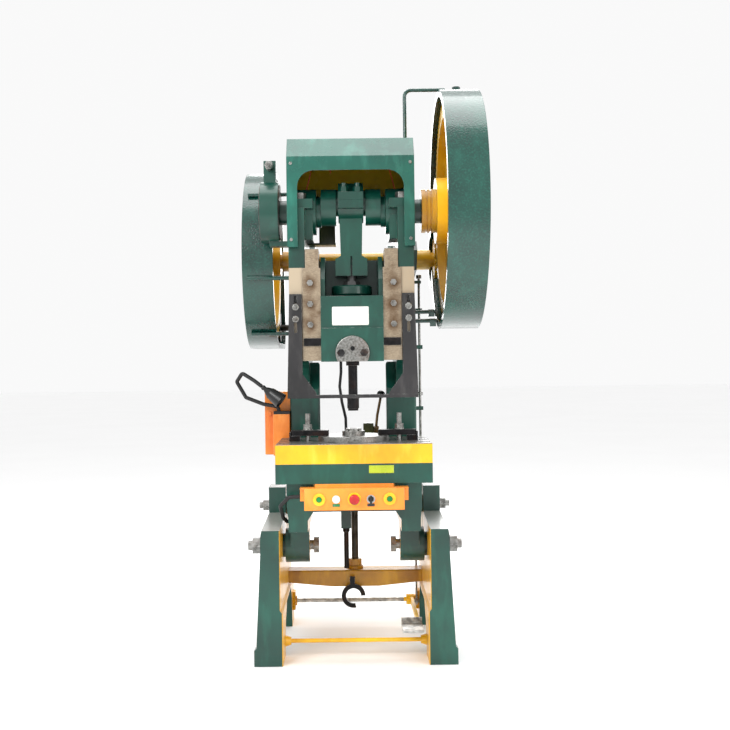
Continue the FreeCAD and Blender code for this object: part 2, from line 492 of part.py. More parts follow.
def brake_band():
    """Split band with its lining round the drum, two lugs on top and the anchor to the frame."""
    inner = DRUM_D / 2 + 0.4
    outer = inner + LINING
    ring = turned_x([(BRAKE_X0 + 3, inner), (BRAKE_X0 + 3, outer), (BRAKE_X1 - 3, outer), (BRAKE_X1 - 3, inner)],
                    SLIDE_Y, CRANK_Z)
    gap = box(BRAKE_X0, BRAKE_X1, SLIDE_Y - 9, SLIDE_Y + 9, CRANK_Z, CRANK_Z + 300)
    lugs = [box(BRAKE_X0 + 14, BRAKE_X1 - 14, SLIDE_Y + s * 16 - 7, SLIDE_Y + s * 16 + 7, CRANK_Z + inner + 4,
                CRANK_Z + outer + 78) for s in (-1, 1)]
    arm = box(BRAKE_X1 - 40, -PLATE_OUT, SLIDE_Y - 30, SLIDE_Y + 30, CRANK_Z - outer - 14, CRANK_Z - outer + 4)
    body = join([ring.cut(gap)] + lugs + [arm])
    return carve(body, [rod_y(16, SLIDE_Y - 60, SLIDE_Y + 60, (BRAKE_X0 + BRAKE_X1) / 2, CRANK_Z + outer + 55)])


def brake_bolt():
    """Clamp bolt through the band lugs with its spring and lock nuts."""
    x = (BRAKE_X0 + BRAKE_X1) / 2
    z = CRANK_Z + DRUM_D / 2 + 0.4 + LINING + 55
    stem = rod_y(15, SLIDE_Y - 86, SLIDE_Y + 40, x, z)
    head = nut_y(24, SLIDE_Y + 23, SLIDE_Y + 36, x, z)
    coils = [Part.makeTorus(13, 2.5, vec(x, SLIDE_Y - 26 - 5.6 * k, z), vec(0, 1, 0)) for k in range(8)]
    sleeve = rod_y(24, SLIDE_Y - 68, SLIDE_Y - 23, x, z)
    nut = nut_y(24, SLIDE_Y - 82, SLIDE_Y - 68, x, z)
    return join([stem, head, sleeve, nut] + coils)


def conrod_pin_z():
    return CRANK_Z + THROW


def connecting_rod():
    z = conrod_pin_z()
    boss = rod_x(2 * BIG_END_R, -46, 46, SLIDE_Y, z).common(box(-60, 60, -400, 0, 1500, z))
    shank = prism_y([(-46, z - 20), (46, z - 20), (ROD_HALF, z - 70), (39, 1472), (ROD_BLOCK_HALF, 1460),
                     (ROD_BLOCK_HALF, 1398), (-ROD_BLOCK_HALF, 1398), (-ROD_BLOCK_HALF, 1460), (-39, 1472),
                     (-ROD_HALF, z - 70)], SLIDE_Y - 40, SLIDE_Y + 40)
    ears = box(-46, 46, SLIDE_Y - BIG_END_R - 22, SLIDE_Y + BIG_END_R + 22, z - 30, z)
    body = join([boss, shank, ears])
    slit = box(-3, 3, SLIDE_Y - 50, SLIDE_Y - 10, 1390, 1470)
    return carve(body, [rod_x(PIN_D + 2 * RUN_FIT, -80, 80, SLIDE_Y, z), rod_z(44, 1390, 1440, 0, SLIDE_Y), slit])


def rod_cap():
    z = conrod_pin_z()
    boss = rod_x(2 * BIG_END_R, -46, 46, SLIDE_Y, z).common(box(-60, 60, -400, 0, z, 1900))
    ears = box(-46, 46, SLIDE_Y - BIG_END_R - 22, SLIDE_Y + BIG_END_R + 22, z, z + 30)
    nuts = [join([rod_z(20, z + 28, z + 62, x, SLIDE_Y + s * (BIG_END_R + 8)),
                  nut_z(30, z + 30, z + 48, x, SLIDE_Y + s * (BIG_END_R + 8))]) for s in (-1, 1) for x in (-25, 25)]
    body = carve(join([boss, ears]), [rod_x(PIN_D + 2 * RUN_FIT, -80, 80, SLIDE_Y, z)])
    return join([body] + nuts)


def ball_screw():
    """Adjusting screw, its ball and the ball-seat ring that hangs on it."""
    stem = rod_z(34, 1340, 1440, 0, SLIDE_Y)
    neck = rod_z(44, 1400, 1440, 0, SLIDE_Y)
    seat_z = RAM_FACE_TOP + SEAT_GAP
    ring = rod_z(BALL_SEAT_D, seat_z, seat_z + BALL_SEAT_H, 0, SLIDE_Y)
    ring = ring.makeChamfer(5, [e for e in ring.Edges if e.BoundBox.ZLength < 0.1])
    hexagonal = nut_z(52, seat_z + BALL_SEAT_H, seat_z + BALL_SEAT_H + 16, 0, SLIDE_Y)
    return join([stem, neck, ring, hexagonal])


def ram():
    """Slide casting with side tongues, an open pocket for the rod and the shank bore."""
    face = box(-RAM_HALF, RAM_HALF, RAM_FRONT, RAM_BACK, RAM_BOTTOM, RAM_FACE_TOP)
    upper = box(-RAM_HALF, RAM_HALF, RAM_FRONT + 34, RAM_BACK, RAM_FACE_TOP - 1, RAM_TOP)
    tongues = box(-RAM_TONGUE, RAM_TONGUE, TONGUE_FRONT + GUIDE_FIT, TONGUE_BACK - GUIDE_FIT, RAM_BOTTOM + 14,
                  RAM_TOP - 60)
    body = join([face, upper, tongues])
    pocket = box(-POCKET_HALF, POCKET_HALF, RAM_FRONT - 1, SLIDE_Y + 84, RAM_FACE_TOP, RAM_TOP + 1)
    step = box(-RAM_HALF - 1, RAM_HALF + 1, RAM_FRONT - 1, RAM_FRONT + 7, 1203, RAM_FACE_TOP + 1)
    slopes = [prism_x([(RAM_FRONT + 30, RAM_TOP + 1), (RAM_FRONT + 100, RAM_TOP + 1), (RAM_FRONT + 30, RAM_TOP - 90)],
                      -RAM_HALF - 1, RAM_HALF + 1)]
    shank = rod_z(SHANK_D, RAM_BOTTOM - 1, RAM_BOTTOM + SHANK_DEPTH, 0, SLIDE_Y)
    clamp_seat = rod_y(2 * CLAMP_R + 1, RAM_FRONT - 1, RAM_FRONT + CLAMP_DEPTH, 0, RAM_BOTTOM + 31)
    knock = box(-RAM_HALF - 1, RAM_HALF + 1, KNOCK_Y - 0.5, KNOCK_Y + KNOCK_T + 0.5, KNOCK_Z - 2,
                KNOCK_Z + 2 * KNOCK_HALF_H + KNOCK_LIFT + 2)
    return carve(body, [pocket, step, shank, clamp_seat, knock] + slopes)


def shank_clamp():
    """Half-round cap that pinches the punch shank."""
    disc = rod_y(2 * CLAMP_R, RAM_FRONT - 12, RAM_FRONT + CLAMP_DEPTH, 0, RAM_BOTTOM + 31)
    disc = disc.common(box(-80, 80, -400, -200, RAM_BOTTOM, 1300))
    return rounded(disc, 3, lambda e: e.BoundBox.YMax < RAM_FRONT - 11)


def ram_screws():
    z = RAM_BOTTOM + 31
    bolts = [nut_y(26, RAM_FRONT - 26, RAM_FRONT - 12, s * 41, z) for s in (-1, 1)]
    centre = rod_y(17, RAM_FRONT - 22, RAM_FRONT - 12, 0, z + 16)
    return group(bolts + [centre])


def punch_holder():
    shank = rod_z(SHANK_D - 0.1, RAM_BOTTOM - 2, RAM_BOTTOM + SHANK_DEPTH - 2, 0, SLIDE_Y)
    collar = rod_z(49, RAM_BOTTOM - 15, RAM_BOTTOM, 0, SLIDE_Y)
    stem = rod_z(34, 955, RAM_BOTTOM - 14, 0, SLIDE_Y)
    foot = join([rod_z(44, 908, 957, 0, SLIDE_Y), rod_z(38, 899.5, 909, 0, SLIDE_Y),
                 rod_z(50, 945, 951, 0, SLIDE_Y)])
    return join([shank, collar, stem, foot])


def knock_bar():
    """Knock-out bar that floats in the slot across the ram."""
    return box(-RAM_HALF - KNOCK_REACH, RAM_HALF + KNOCK_REACH, KNOCK_Y, KNOCK_Y + KNOCK_T, KNOCK_Z,
               KNOCK_Z + 2 * KNOCK_HALF_H)


def gibs():
    gib = box(RAM_HALF + GUIDE_FIT, GIB_OUT, GIB_FRONT, TONGUE_FRONT, HEAD_BOTTOM, GIB_TOP)
    keeper = box(RAM_HALF + 6, PLATE_IN - 1, GIB_FRONT, TONGUE_FRONT, GIB_TOP, GIB_TOP + 68)
    return group(both_sides([gib, keeper]))


# ---- gears ---------------------------------------------------------------------------
def tooth_ring(teeth, y, z, x0, x1, turn):
    """Spur gear blank with straight-flanked teeth standing on the root circle."""
    pitch_r = MODULE * teeth / 2
    step = 360.0 / teeth
    widths = ((-1.2, 0.31), (-0.55, 0.285), (0.0, 0.235), (0.55, 0.175), (0.98, 0.12))
    points = []
    for k in range(teeth):
        centre = k * step + turn
        for depth, share in widths:
            points.append((pitch_r + depth * MODULE, centre - share * step))
        for depth, share in reversed(widths):
            points.append((pitch_r + depth * MODULE, centre + share * step))
    outline = [(y + r * math.cos(math.radians(a)), z + r * math.sin(math.radians(a))) for r, a in points]
    return prism_x(outline, x0, x1)


def mesh_angle():
    return math.degrees(math.atan2(BACK_Z - CRANK_Z, BACK_Y - SLIDE_Y))


def bull_gear():
    """Toothed rim, thin web with five lightening holes, hub and the clutch boss."""
    rim = tooth_ring(GEAR_TEETH, SLIDE_Y, CRANK_Z, GEAR_X0, GEAR_X1, mesh_angle())
    web_r = MODULE * GEAR_TEETH / 2 - 52
    dish = [turned_x([(x0, HUB_D / 2), (x0, web_r), (x1, web_r), (x1, HUB_D / 2)], SLIDE_Y, CRANK_Z)
            for x0, x1 in ((GEAR_X0 - 1, GEAR_X0 + 32), (GEAR_X1 - 32, GEAR_X1 + 1))]
    hub = rod_x(HUB_D, HUB_X0, HUB_X1, SLIDE_Y, CRANK_Z)
    boss = rod_x(CLUTCH_D, CLUTCH_X0, HUB_X0 + 1, SLIDE_Y, CRANK_Z)
    grooves = [turned_x([(x, CLUTCH_D / 2 - 5), (x, CLUTCH_D / 2 + 5), (x + 6, CLUTCH_D / 2 + 5),
                         (x + 6, CLUTCH_D / 2 - 5)], SLIDE_Y, CRANK_Z) for x in (276, 292)]
    holes = [rotated_x(rod_x(105, 300, 480, SLIDE_Y + 230, CRANK_Z), 72 * k + 20, SLIDE_Y, CRANK_Z)
             for k in range(5)]
    body = join([carve(rim, dish), hub, boss])
    return carve(body, grooves + holes + [rod_x(JOURNAL_D + 2 * RUN_FIT, 200, 500, SLIDE_Y, CRANK_Z)])


def back_shaft():
    """Back shaft with the pinion cut on its right end."""
    turn = mesh_angle() + 180 + 180.0 / PINION_TEETH
    pinion = tooth_ring(PINION_TEETH, BACK_Y, BACK_Z, GEAR_X0 - 6, GEAR_X1 + 2, turn)
    shaft = rod_x(BACK_SHAFT_D, FLY_X0 - 14, GEAR_X1 + 14, BACK_Y, BACK_Z)
    collar = rod_x(BACK_SHAFT_D + 22, CLUTCH_X0 + 2, GEAR_X0 - 20, BACK_Y, BACK_Z)
    left_collar = rod_x(BACK_SHAFT_D + 22, -CLUTCH_X0 - 22, -CLUTCH_X0 + 3, BACK_Y, BACK_Z)
    return join([pinion, shaft, collar, left_collar])


def belt_x(k):
    middle = (FLY_X0 + FLY_X1) / 2
    return middle + (k - (BELT_COUNT - 1) / 2) * BELT_PITCH


def groove(radius, k, y, z):
    x = belt_x(k)
    top = BELT_TOP_W / 2 + 0.6
    return turned_x([(x - top, radius + 1), (x + top, radius + 1), (x + top - 3, radius - BELT_DEPTH - 3),
                     (x - top + 3, radius - BELT_DEPTH - 3)], y, z)


def flywheel():
    """Grooved rim, web with five round windows and hub."""
    radius = FLYWHEEL_D / 2
    rim = turned_x([(FLY_X0, radius - 62), (FLY_X0, radius), (FLY_X1, radius), (FLY_X1, radius - 62)],
                   BACK_Y, BACK_Z)
    middle = (FLY_X0 + FLY_X1) / 2
    web = rod_x(2 * radius - 100, middle - 13, middle + 13, BACK_Y, BACK_Z)
    hub = rod_x(140, FLY_X0 - 4, FLY_X1 + 24, BACK_Y, BACK_Z)
    holes = [rotated_x(rod_x(96, FLY_X0 - 1, FLY_X1 + 1, BACK_Y + 170, BACK_Z), 72 * k, BACK_Y, BACK_Z)
             for k in range(5)]
    body = carve(join([rim, web, hub]), holes + [rod_x(BACK_SHAFT_D, -500, 0, BACK_Y, BACK_Z)])
    return carve(body, [groove(radius, k, BACK_Y, BACK_Z) for k in range(BELT_COUNT)])


def motor_pulley():
    radius = PULLEY_D / 2
    wheel = rod_x(PULLEY_D, FLY_X0 + 2, FLY_X1 - 2, MOTOR_Y, MOTOR_Z)
    shaft = rod_x(28, FLY_X0 - 4, -MOTOR_END, MOTOR_Y, MOTOR_Z)
    return carve(join([wheel, shaft]), [groove(radius, k, MOTOR_Y, MOTOR_Z) for k in range(BELT_COUNT)])


def loop_x(r_top, r_low, x0, x1):
    """Solid bounded by a belt line round the flywheel and the motor pulley centres."""
    dy, dz = MOTOR_Y - BACK_Y, MOTOR_Z - BACK_Z
    span = math.hypot(dy, dz)
    base = math.atan2(dz, dy)
    lean = math.acos((r_top - r_low) / span)
    corners = [(BACK_Y + r_top * math.cos(base + lean), BACK_Z + r_top * math.sin(base + lean)),
               (MOTOR_Y + r_low * math.cos(base + lean), MOTOR_Z + r_low * math.sin(base + lean)),
               (MOTOR_Y + r_low * math.cos(base - lean), MOTOR_Z + r_low * math.sin(base - lean)),
               (BACK_Y + r_top * math.cos(base - lean), BACK_Z + r_top * math.sin(base - lean))]
    return join([rod_x(2 * r_top, x0, x1, BACK_Y, BACK_Z), rod_x(2 * r_low, x0, x1, MOTOR_Y, MOTOR_Z),
                 prism_x(corners, x0, x1)])


def v_belts():
    top, low = FLYWHEEL_D / 2 - 1.5, PULLEY_D / 2 - 1.5
    belts = []
    for k in range(BELT_COUNT):
        x = belt_x(k)
        half = BELT_TOP_W / 2 - 3
        outer = loop_x(top, low, x - half, x + half)
        belts.append(outer.cut(loop_x(top - BELT_DEPTH, low - BELT_DEPTH, x - half - 1, x + half + 1)))
    return group(belts)


def motor():
    """Foot-mounted motor lying along X with ribs, end bells, fan cover and terminal box."""
    left, right = -MOTOR_END, 76.0
    body = rod_x(2 * MOTOR_R - 14, left + 12, right, MOTOR_Y, MOTOR_Z)
    bells = [rod_x(2 * MOTOR_R, left, left + 26, MOTOR_Y, MOTOR_Z), rod_x(2 * MOTOR_R, 0, 22, MOTOR_Y, MOTOR_Z),
             rod_x(2 * MOTOR_R - 4, 22, right, MOTOR_Y, MOTOR_Z)]
    rib = box(left + 26, 0, MOTOR_Y - 2, MOTOR_Y + 2, MOTOR_Z + MOTOR_R - 12, MOTOR_Z + MOTOR_R)
    ribs = [rotated_x(rib, 15 * k, MOTOR_Y, MOTOR_Z) for k in range(24)]
    foot = box(left + 40, -14, MOTOR_FOOT_Y, MOTOR_Y - 40, MOTOR_Z - 80, MOTOR_Z + 80)
    terminal = box(-190, -80, MOTOR_Y - 30, MOTOR_Y + 60, MOTOR_Z + MOTOR_R - 20, MOTOR_Z + MOTOR_R + 46)
    shell = join([body] + bells + ribs + [foot, terminal])
    return carve(shell, [rod_x(29, left - 1, left + 40, MOTOR_Y, MOTOR_Z)])


def motor_bracket():
    """Slide plate for belt tension, carried by four arms on the back of the frame."""
    plate = box(-228, 20, MOTOR_FOOT_Y - BRACKET_T, MOTOR_FOOT_Y, MOTOR_Z - 110, MOTOR_Z + 110)
    bar_back = BRACKET_Y + 18
    cross = [box(-PLATE_OUT, PLATE_OUT, BRACKET_Y, bar_back, z, z + BRACKET_BAR_H) for z in BRACKET_BARS]
    arms = [box(x, x + 14, bar_back, MOTOR_FOOT_Y - BRACKET_T, z, z + BRACKET_BAR_H)
            for x in (-210, -12) for z in BRACKET_BARS]
    return join([plate] + cross + arms)


# ---- guards --------------------------------------------------------------------------
def gear_guard():
    """Bent-sheet band round the gear and pinion with an inward lip at each edge."""
    def outline(inset, x0, x1):
        return join([rod_x(2 * (GEAR_GUARD_R - inset), x0, x1, SLIDE_Y, CRANK_Z),
                     rod_x(2 * (118 - inset), x0, x1, BACK_Y, BACK_Z)])
    band = outline(0, GEAR_GUARD_X0, GEAR_GUARD_X1).cut(outline(GUARD_SHEET, GEAR_GUARD_X0 - 1, GEAR_GUARD_X1 + 1))
    lips = [outline(0, x, x + GUARD_SHEET).cut(outline(24, x - 1, x + GUARD_SHEET + 1))
            for x in (GEAR_GUARD_X0, GEAR_GUARD_X1 - GUARD_SHEET)]
    return join([band] + lips)


def flywheel_guard():
    """Bent-sheet band round the flywheel and the motor pulley."""
    low = PULLEY_D / 2 + 30
    band = loop_x(FLY_GUARD_R, low, FLY_GUARD_X0, FLY_GUARD_X1)
    band = band.cut(loop_x(FLY_GUARD_R - GUARD_SHEET, low - GUARD_SHEET, FLY_GUARD_X0 - 1, FLY_GUARD_X1 + 1))
    lips = []
    for x in (FLY_GUARD_X0, FLY_GUARD_X1 - GUARD_SHEET):
        opening = loop_x(FLY_GUARD_R - 20, low - 20, x - 1, x + GUARD_SHEET + 1)
        lips.append(loop_x(FLY_GUARD_R, low, x, x + GUARD_SHEET).cut(opening))
    return join([band] + lips)


def guard_stays():
    """Round stays from the frame to the guard bands, and the strap over the gear guard."""
    stays = []
    for y, z in ((57.0, CRANK_Z - 364), (-20.0, CRANK_Z - 402)):
        radial = math.hypot(y - SLIDE_Y, z - CRANK_Z)
        reach = GEAR_GUARD_R - GUARD_SHEET - radial
        tip = box(GEAR_GUARD_X0 - 24, GEAR_GUARD_X0, -7, 7, -7, reach + 20)
        angle = math.degrees(math.atan2(z - CRANK_Z, y - SLIDE_Y)) - 90
        tip.rotate(vec(0, 0, 0), vec(1, 0, 0), angle)
        tip.translate(vec(0, y, z))
        stays.append(join([rod_x(16, PLATE_OUT, GEAR_GUARD_X0, y, z), tip]))
    strap_z = CRANK_Z + GEAR_GUARD_R + STRAP_LIFT
    strap_top = strap_z + STRAP_T_GUARD
    rod_z_top = strap_top + RISER_D / 2 - 1
    riser = tube_path([(RISER_X, SLIDE_Y, HOOD_TOP), (RISER_X, SLIDE_Y, rod_z_top),
                       (GEAR_GUARD_X0 + 30, SLIDE_Y, rod_z_top)], 24, RISER_D)
    strap = box(GEAR_GUARD_X0 + 7, GEAR_GUARD_X1 - 1, SLIDE_Y - 20, SLIDE_Y + 20, strap_z, strap_top)
    nut = nut_z(26, strap_top - 1, strap_top + 16, (GEAR_GUARD_X0 + GEAR_GUARD_X1) / 2 + 2, SLIDE_Y)
    stays.append(join([riser, strap, nut]))
    for angle, root in ((195.0, PLATE_OUT), (236.0, PLATE_OUT), (140.0, HOOD_HALF)):
        y = BACK_Y + (FLY_GUARD_R + 8.3) * math.cos(math.radians(angle))
        z = BACK_Z + (FLY_GUARD_R + 8.3) * math.sin(math.radians(angle))
        stays.append(rod_x(16, FLY_GUARD_X0 + 20, -root, y, z))
    return group(stays)


def hood():
    """Folded sheet hood over the crank, open below, arched at the front."""
    side = [(HOOD_FRONT, HOOD_BOTTOM), (HOOD_FRONT, HOOD_SHOULDER), (HOOD_FRONT + 60, HOOD_TOP), (70, HOOD_TOP),
            (70, HEAD_TOP + 14), (-30, HEAD_TOP + 14), (-62, CRANK_Z + 4), (-320, CRANK_Z + 4), (-320, HOOD_BOTTOM)]
    shell = prism_x(side, -HOOD_HALF, HOOD_HALF)
    inner = [(HOOD_FRONT + HOOD_SHEET, HOOD_BOTTOM - 5), (HOOD_FRONT + HOOD_SHEET, HOOD_SHOULDER - 2),
             (HOOD_FRONT + 61.5, HOOD_TOP - HOOD_SHEET), (70 - HOOD_SHEET, HOOD_TOP - HOOD_SHEET),
             (70 - HOOD_SHEET, HOOD_BOTTOM - 5)]
    inside = prism_x(inner, -HOOD_HALF + HOOD_SHEET - 0.3, HOOD_HALF - HOOD_SHEET + 0.3)
    y0, y1 = HOOD_FRONT - 1, HOOD_FRONT + HOOD_SHEET + 1
    crown = ARCH_TOP - ARCH_R
    arch = join([box(-ARCH_HALF, ARCH_HALF, y0, y1, HOOD_BOTTOM - 1, crown),
                 box(-ARCH_HALF + ARCH_R, ARCH_HALF - ARCH_R, y0, y1, HOOD_BOTTOM, ARCH_TOP)]
                + both_sides([rod_y(2 * ARCH_R, y0, y1, ARCH_HALF - ARCH_R, crown)]))
    shaft = rod_x(2 * BEARING_R + 20, -400, 400, SLIDE_Y, CRANK_Z)
    return carve(shell, [inside, arch, shaft])


def guard_plates():
    """Slotted brackets on the head, splayed at the foot, and the bar that joins them."""
    y0, y1 = HEAD_FRONT - 16, HEAD_FRONT - 8
    outline = [(180, 1326), (225, 1326), (235, 965), (235, 963), (130, 963), (132, 972), (180, 1038)]
    plate = prism_y(outline, y0, y1)
    tabs = [box(182, 224, y1 - 0.5, HEAD_FRONT, z, z + 30) for z in (1110, 1240, 1296)]
    slots = [join([box(198, 208, y0 - 1, y1 + 1, z0, z1), rod_y(10, y0 - 1, y1 + 1, 203, z0),
                   rod_y(10, y0 - 1, y1 + 1, 203, z1)]) for z0, z1 in ((1291, 1315), (1191, 1221))]
    side = carve(join([plate] + tabs), slots)
    bar = box(-235, 235, y0, y1 + 20, 951, 963)
    return group(both_sides([side]) + [bar])


def plate_screws():
    y = HEAD_FRONT - 16
    screws = [join([rod_y(24, y - 3, y, 203, z), nut_y(17, y - 11, y - 3, 203, z)]) for z in (1279, 1236)]
    return both_sides(screws)


def gib_screws():
    return both_sides([nut_y(20, GIB_FRONT - 9, GIB_FRONT, 150, z) for z in (1216, 1290, 1366)])


def hood_screws():
    return both_sides([rod_y(11, HOOD_FRONT - 5, HOOD_FRONT, 214, z) for z in (1793, 1520)])


def frame_screws():
    return group(cap_screws() + plate_screws() + gib_screws() + hood_screws() + lock_bolts() + [fork_pin()])


# ---- lubrication ---------------------------------------------------------------------
def oil_box():
    tank = box(-126, -62, 60, 120, 1550, 1640)
    tank = rounded(tank, 6, lambda e: along(e, "z"))
    shelf = box(-PLATE_IN, -60, 50, 130, 1542, 1550)
    return join([tank, shelf, rod_z(16, 1640, 1652, -94, 90)])


def oil_tubes():
    """Three copper oil pipes from the hood down to the bearing caps and the rod."""
    top = HOOD_TOP - HOOD_SHEET - 0.8
    rear = SLIDE_Y + 40
    runs = [[(-122, rear, top), (-150, rear, 1790), (-170, rear, CRANK_Z + 75)],
            [(-112, rear, top), (-82, rear, 1830), (-74, rear, 1790)],
            [(122, rear, top), (150, rear, 1790), (170, rear, CRANK_Z + 75)]]
    return group([tube_path(run, 25, 5) for run in runs])


def pump_lever():
    stem = tube_path([(92, 232, 804), (98, 232, 860), (112, 232, 930)], 60, 11)
    hub = rod_x(34, 82, 104, 232, 800)
    knob = Part.makeSphere(17, vec(114, 232, 946))
    return join([stem, hub, knob])


def pump_body():
    return join([box(40, 81.5, 196, 268, 740, 830), box(40, PLATE_IN, 210, 250, 720, 745)])


# ---- bolster and tooling -------------------------------------------------------------
def bolster_plate():
    body = box(-TABLE_HALF, TABLE_HALF, TABLE_FRONT, BOLSTER_BACK, TABLE_TOP, BOLSTER_TOP)
    body = body.makeChamfer(2, [e for e in body.Edges if e.BoundBox.ZMin > BOLSTER_TOP - 1])
    slots = []
    for y in (SLIDE_Y - T_SLOT_Y, SLIDE_Y, SLIDE_Y + T_SLOT_Y):
        slots.append(box(-400, 400, y - T_SLOT_W / 2, y + T_SLOT_W / 2, BOLSTER_TOP - 38, BOLSTER_TOP + 1))
        slots.append(box(-400, 400, y - T_SLOT_W, y + T_SLOT_W, BOLSTER_TOP - 38, BOLSTER_TOP - 20))
    return carve(body, slots + [rod_z(DROP_HOLE, 700, 800, 0, SLIDE_Y)])


def die_disc():
    disc = rod_z(DISC_D, BOLSTER_TOP, BOLSTER_TOP + DISC_H, 0, SLIDE_Y)
    disc = disc.makeChamfer(2, [e for e in disc.Edges if e.BoundBox.ZMin > BOLSTER_TOP + 1])
    return carve(disc, [rod_z(40, BOLSTER_TOP - 1, BOLSTER_TOP + 30, 0, SLIDE_Y)])


def die_insert():
    z = BOLSTER_TOP + DISC_H
    block = join([rod_z(84, z, z + 16, 0, SLIDE_Y), rod_z(58, z + 15, z + 25, 0, SLIDE_Y)])
    screws = [rod_z(11, z + 16, z + 21, 35 * math.cos(k), SLIDE_Y + 35 * math.sin(k))
              for k in (math.pi / 4 + math.pi / 2 * n for n in range(4))]
    return carve(join([block] + screws), [rod_z(30, z - 1, z + 40, 0, SLIDE_Y)])


def strap_clamps():
    """Slotted straps on the die disc with a stepped heel block under each outer end."""
    z = BOLSTER_TOP + DISC_H
    strap = box(STRAP_X0, STRAP_X1, SLIDE_Y - STRAP_W / 2, SLIDE_Y + STRAP_W / 2, z, z + STRAP_T)
    strap = rounded(strap, 8, lambda e: along(e, "z"))
    strap = carve(strap, [box(STUD_X - 22, STUD_X + 22, SLIDE_Y - 11, SLIDE_Y + 11, z - 1, z + STRAP_T + 1)])
    heel = box(STRAP_X1 - 34, STRAP_X1 + 6, SLIDE_Y - 24, SLIDE_Y + 24, BOLSTER_TOP, z)
    step = box(STRAP_X1, STRAP_X1 + 6, SLIDE_Y - 24, SLIDE_Y + 24, z - 1, z + 14)
    return group(both_sides([strap, join([heel, step])]))


def clamp_studs():
    z = BOLSTER_TOP + DISC_H + STRAP_T
    stud = rod_z(STUD_D, BOLSTER_TOP - 24, STUD_TOP, STUD_X, SLIDE_Y)
    head = box(STUD_X - 17, STUD_X + 17, SLIDE_Y - 17, SLIDE_Y + 17, BOLSTER_TOP - 36, BOLSTER_TOP - 21)
    washer = rod_z(36, z, z + 4, STUD_X, SLIDE_Y)
    return group(both_sides([join([stud, head, washer, nut_z(28, z + 4, z + 22, STUD_X, SLIDE_Y)])]))


# ---- operator panel, cabinet and lamp ------------------------------------------------
def control_box():
    body = box(-PANEL_HALF, PANEL_HALF, PANEL_FRONT, TABLE_FRONT, PANEL_Z0, PANEL_Z1)
    body = rounded(body, 5, lambda e: along(e, "z") and e.BoundBox.YMin < PANEL_FRONT + 1)
    flange = box(-PANEL_HALF - 15, PANEL_HALF + 15, PANEL_FRONT + 4, TABLE_FRONT, PANEL_Z1 - 3, PANEL_Z1)
    ear = box(PANEL_HALF - 1, PANEL_HALF + 15, PANEL_FRONT + 30, TABLE_FRONT, PANEL_Z0 + 30, PANEL_Z1)
    back = box(-140, 140, TABLE_FRONT - 0.5, TABLE_FRONT + 45, PANEL_Z1 - 10, TABLE_BOTTOM)
    holes = [rod_y(2 * stem + 1, PANEL_FRONT - 1, PANEL_FRONT + 26, x, CONTROL_Z) for x, stem in control_stems()]
    return carve(join([body, flange, back] + both_sides([ear])), holes)


def control_stems():
    return ((-BUTTON_X, 9.0), (BUTTON_X, 9.0), (STOP_X, 9.0), (KEY_X, 9.0), (LAMP_X, 9.0))


def panel_fittings():
    """Bezel rings of the push buttons, stop button and selector, and the signal lamp."""
    rings = [rod_y(44, PANEL_FRONT - 6, PANEL_FRONT, x, CONTROL_Z).cut(
        rod_y(20, PANEL_FRONT - 7, PANEL_FRONT + 1, x, CONTROL_Z)) for x in (-BUTTON_X, BUTTON_X)]
    rings.append(rod_y(48, PANEL_FRONT - 4, PANEL_FRONT, STOP_X, CONTROL_Z).cut(
        rod_y(20, PANEL_FRONT - 7, PANEL_FRONT + 1, STOP_X, CONTROL_Z)))
    rings.append(rod_y(30, PANEL_FRONT - 5, PANEL_FRONT, KEY_X, CONTROL_Z).cut(
        rod_y(20, PANEL_FRONT - 7, PANEL_FRONT + 1, KEY_X, CONTROL_Z)))
    lens = rod_y(18, PANEL_FRONT - 1, PANEL_FRONT + 20, LAMP_X, CONTROL_Z)
    dome = rounded(rod_y(28, PANEL_FRONT - 13, PANEL_FRONT, LAMP_X, CONTROL_Z), 7,
                   lambda e: e.BoundBox.YMax < PANEL_FRONT - 12)
    return group(rings + [join([lens, dome])])


def push_button(x):
    stem = rod_y(18, PANEL_FRONT - 10, PANEL_FRONT + 18, x, CONTROL_Z)
    return rounded(stem, 2, lambda e: e.BoundBox.YMax < PANEL_FRONT - 9)


def stop_button():
    head = rounded(rod_y(36, PANEL_FRONT - 26, PANEL_FRONT - 12, STOP_X, CONTROL_Z), 6,
                   lambda e: e.BoundBox.YMax < PANEL_FRONT - 25)
    return join([head, rod_y(18, PANEL_FRONT - 13, PANEL_FRONT + 18, STOP_X, CONTROL_Z)])


def selector():
    stem = rod_y(18, PANEL_FRONT - 12, PANEL_FRONT + 18, KEY_X, CONTROL_Z)
    return join([stem, box(KEY_X - 3.5, KEY_X + 3.5, PANEL_FRONT - 24, PANEL_FRONT - 11, CONTROL_Z - 13,
                           CONTROL_Z + 13)])


def cabinet():
    """Open steel tray on the left column; its door closes the outer side."""
    outer = box(CABINET_X0 + DOOR_T, CABINET_X1, CABINET_Y0, CABINET_Y1, CABINET_Z0, CABINET_Z1)
    inner = box(CABINET_X0 + DOOR_T - 1, CABINET_X1 - 3, CABINET_Y0 + 3, CABINET_Y1 - 3, CABINET_Z0 + 3,
                CABINET_Z1 - 3)
    relay = box(CABINET_X1 - 50, CABINET_X1 - 2, CABINET_Y0 + 20, CABINET_Y1 - 20,
                CABINET_Z0 + 60, CABINET_Z1 - 60)
    spacer = box(CABINET_X1 - 1, -PLATE_OUT, CABINET_Y0 + 60, CABINET_Y1 - 40,
                 CABINET_Z0 + 40, CABINET_Z1 - 40)
    junction = box(CABINET_X0 + DOOR_T, CABINET_X1, JUNCTION_FRONT, CABINET_Y0 + 1, CABINET_Z0, JUNCTION_TOP)
    junction = rounded(junction, 4, lambda e: along(e, "z") and e.BoundBox.YMax < JUNCTION_FRONT + 1)
    return join([outer.cut(inner), relay, spacer, junction])


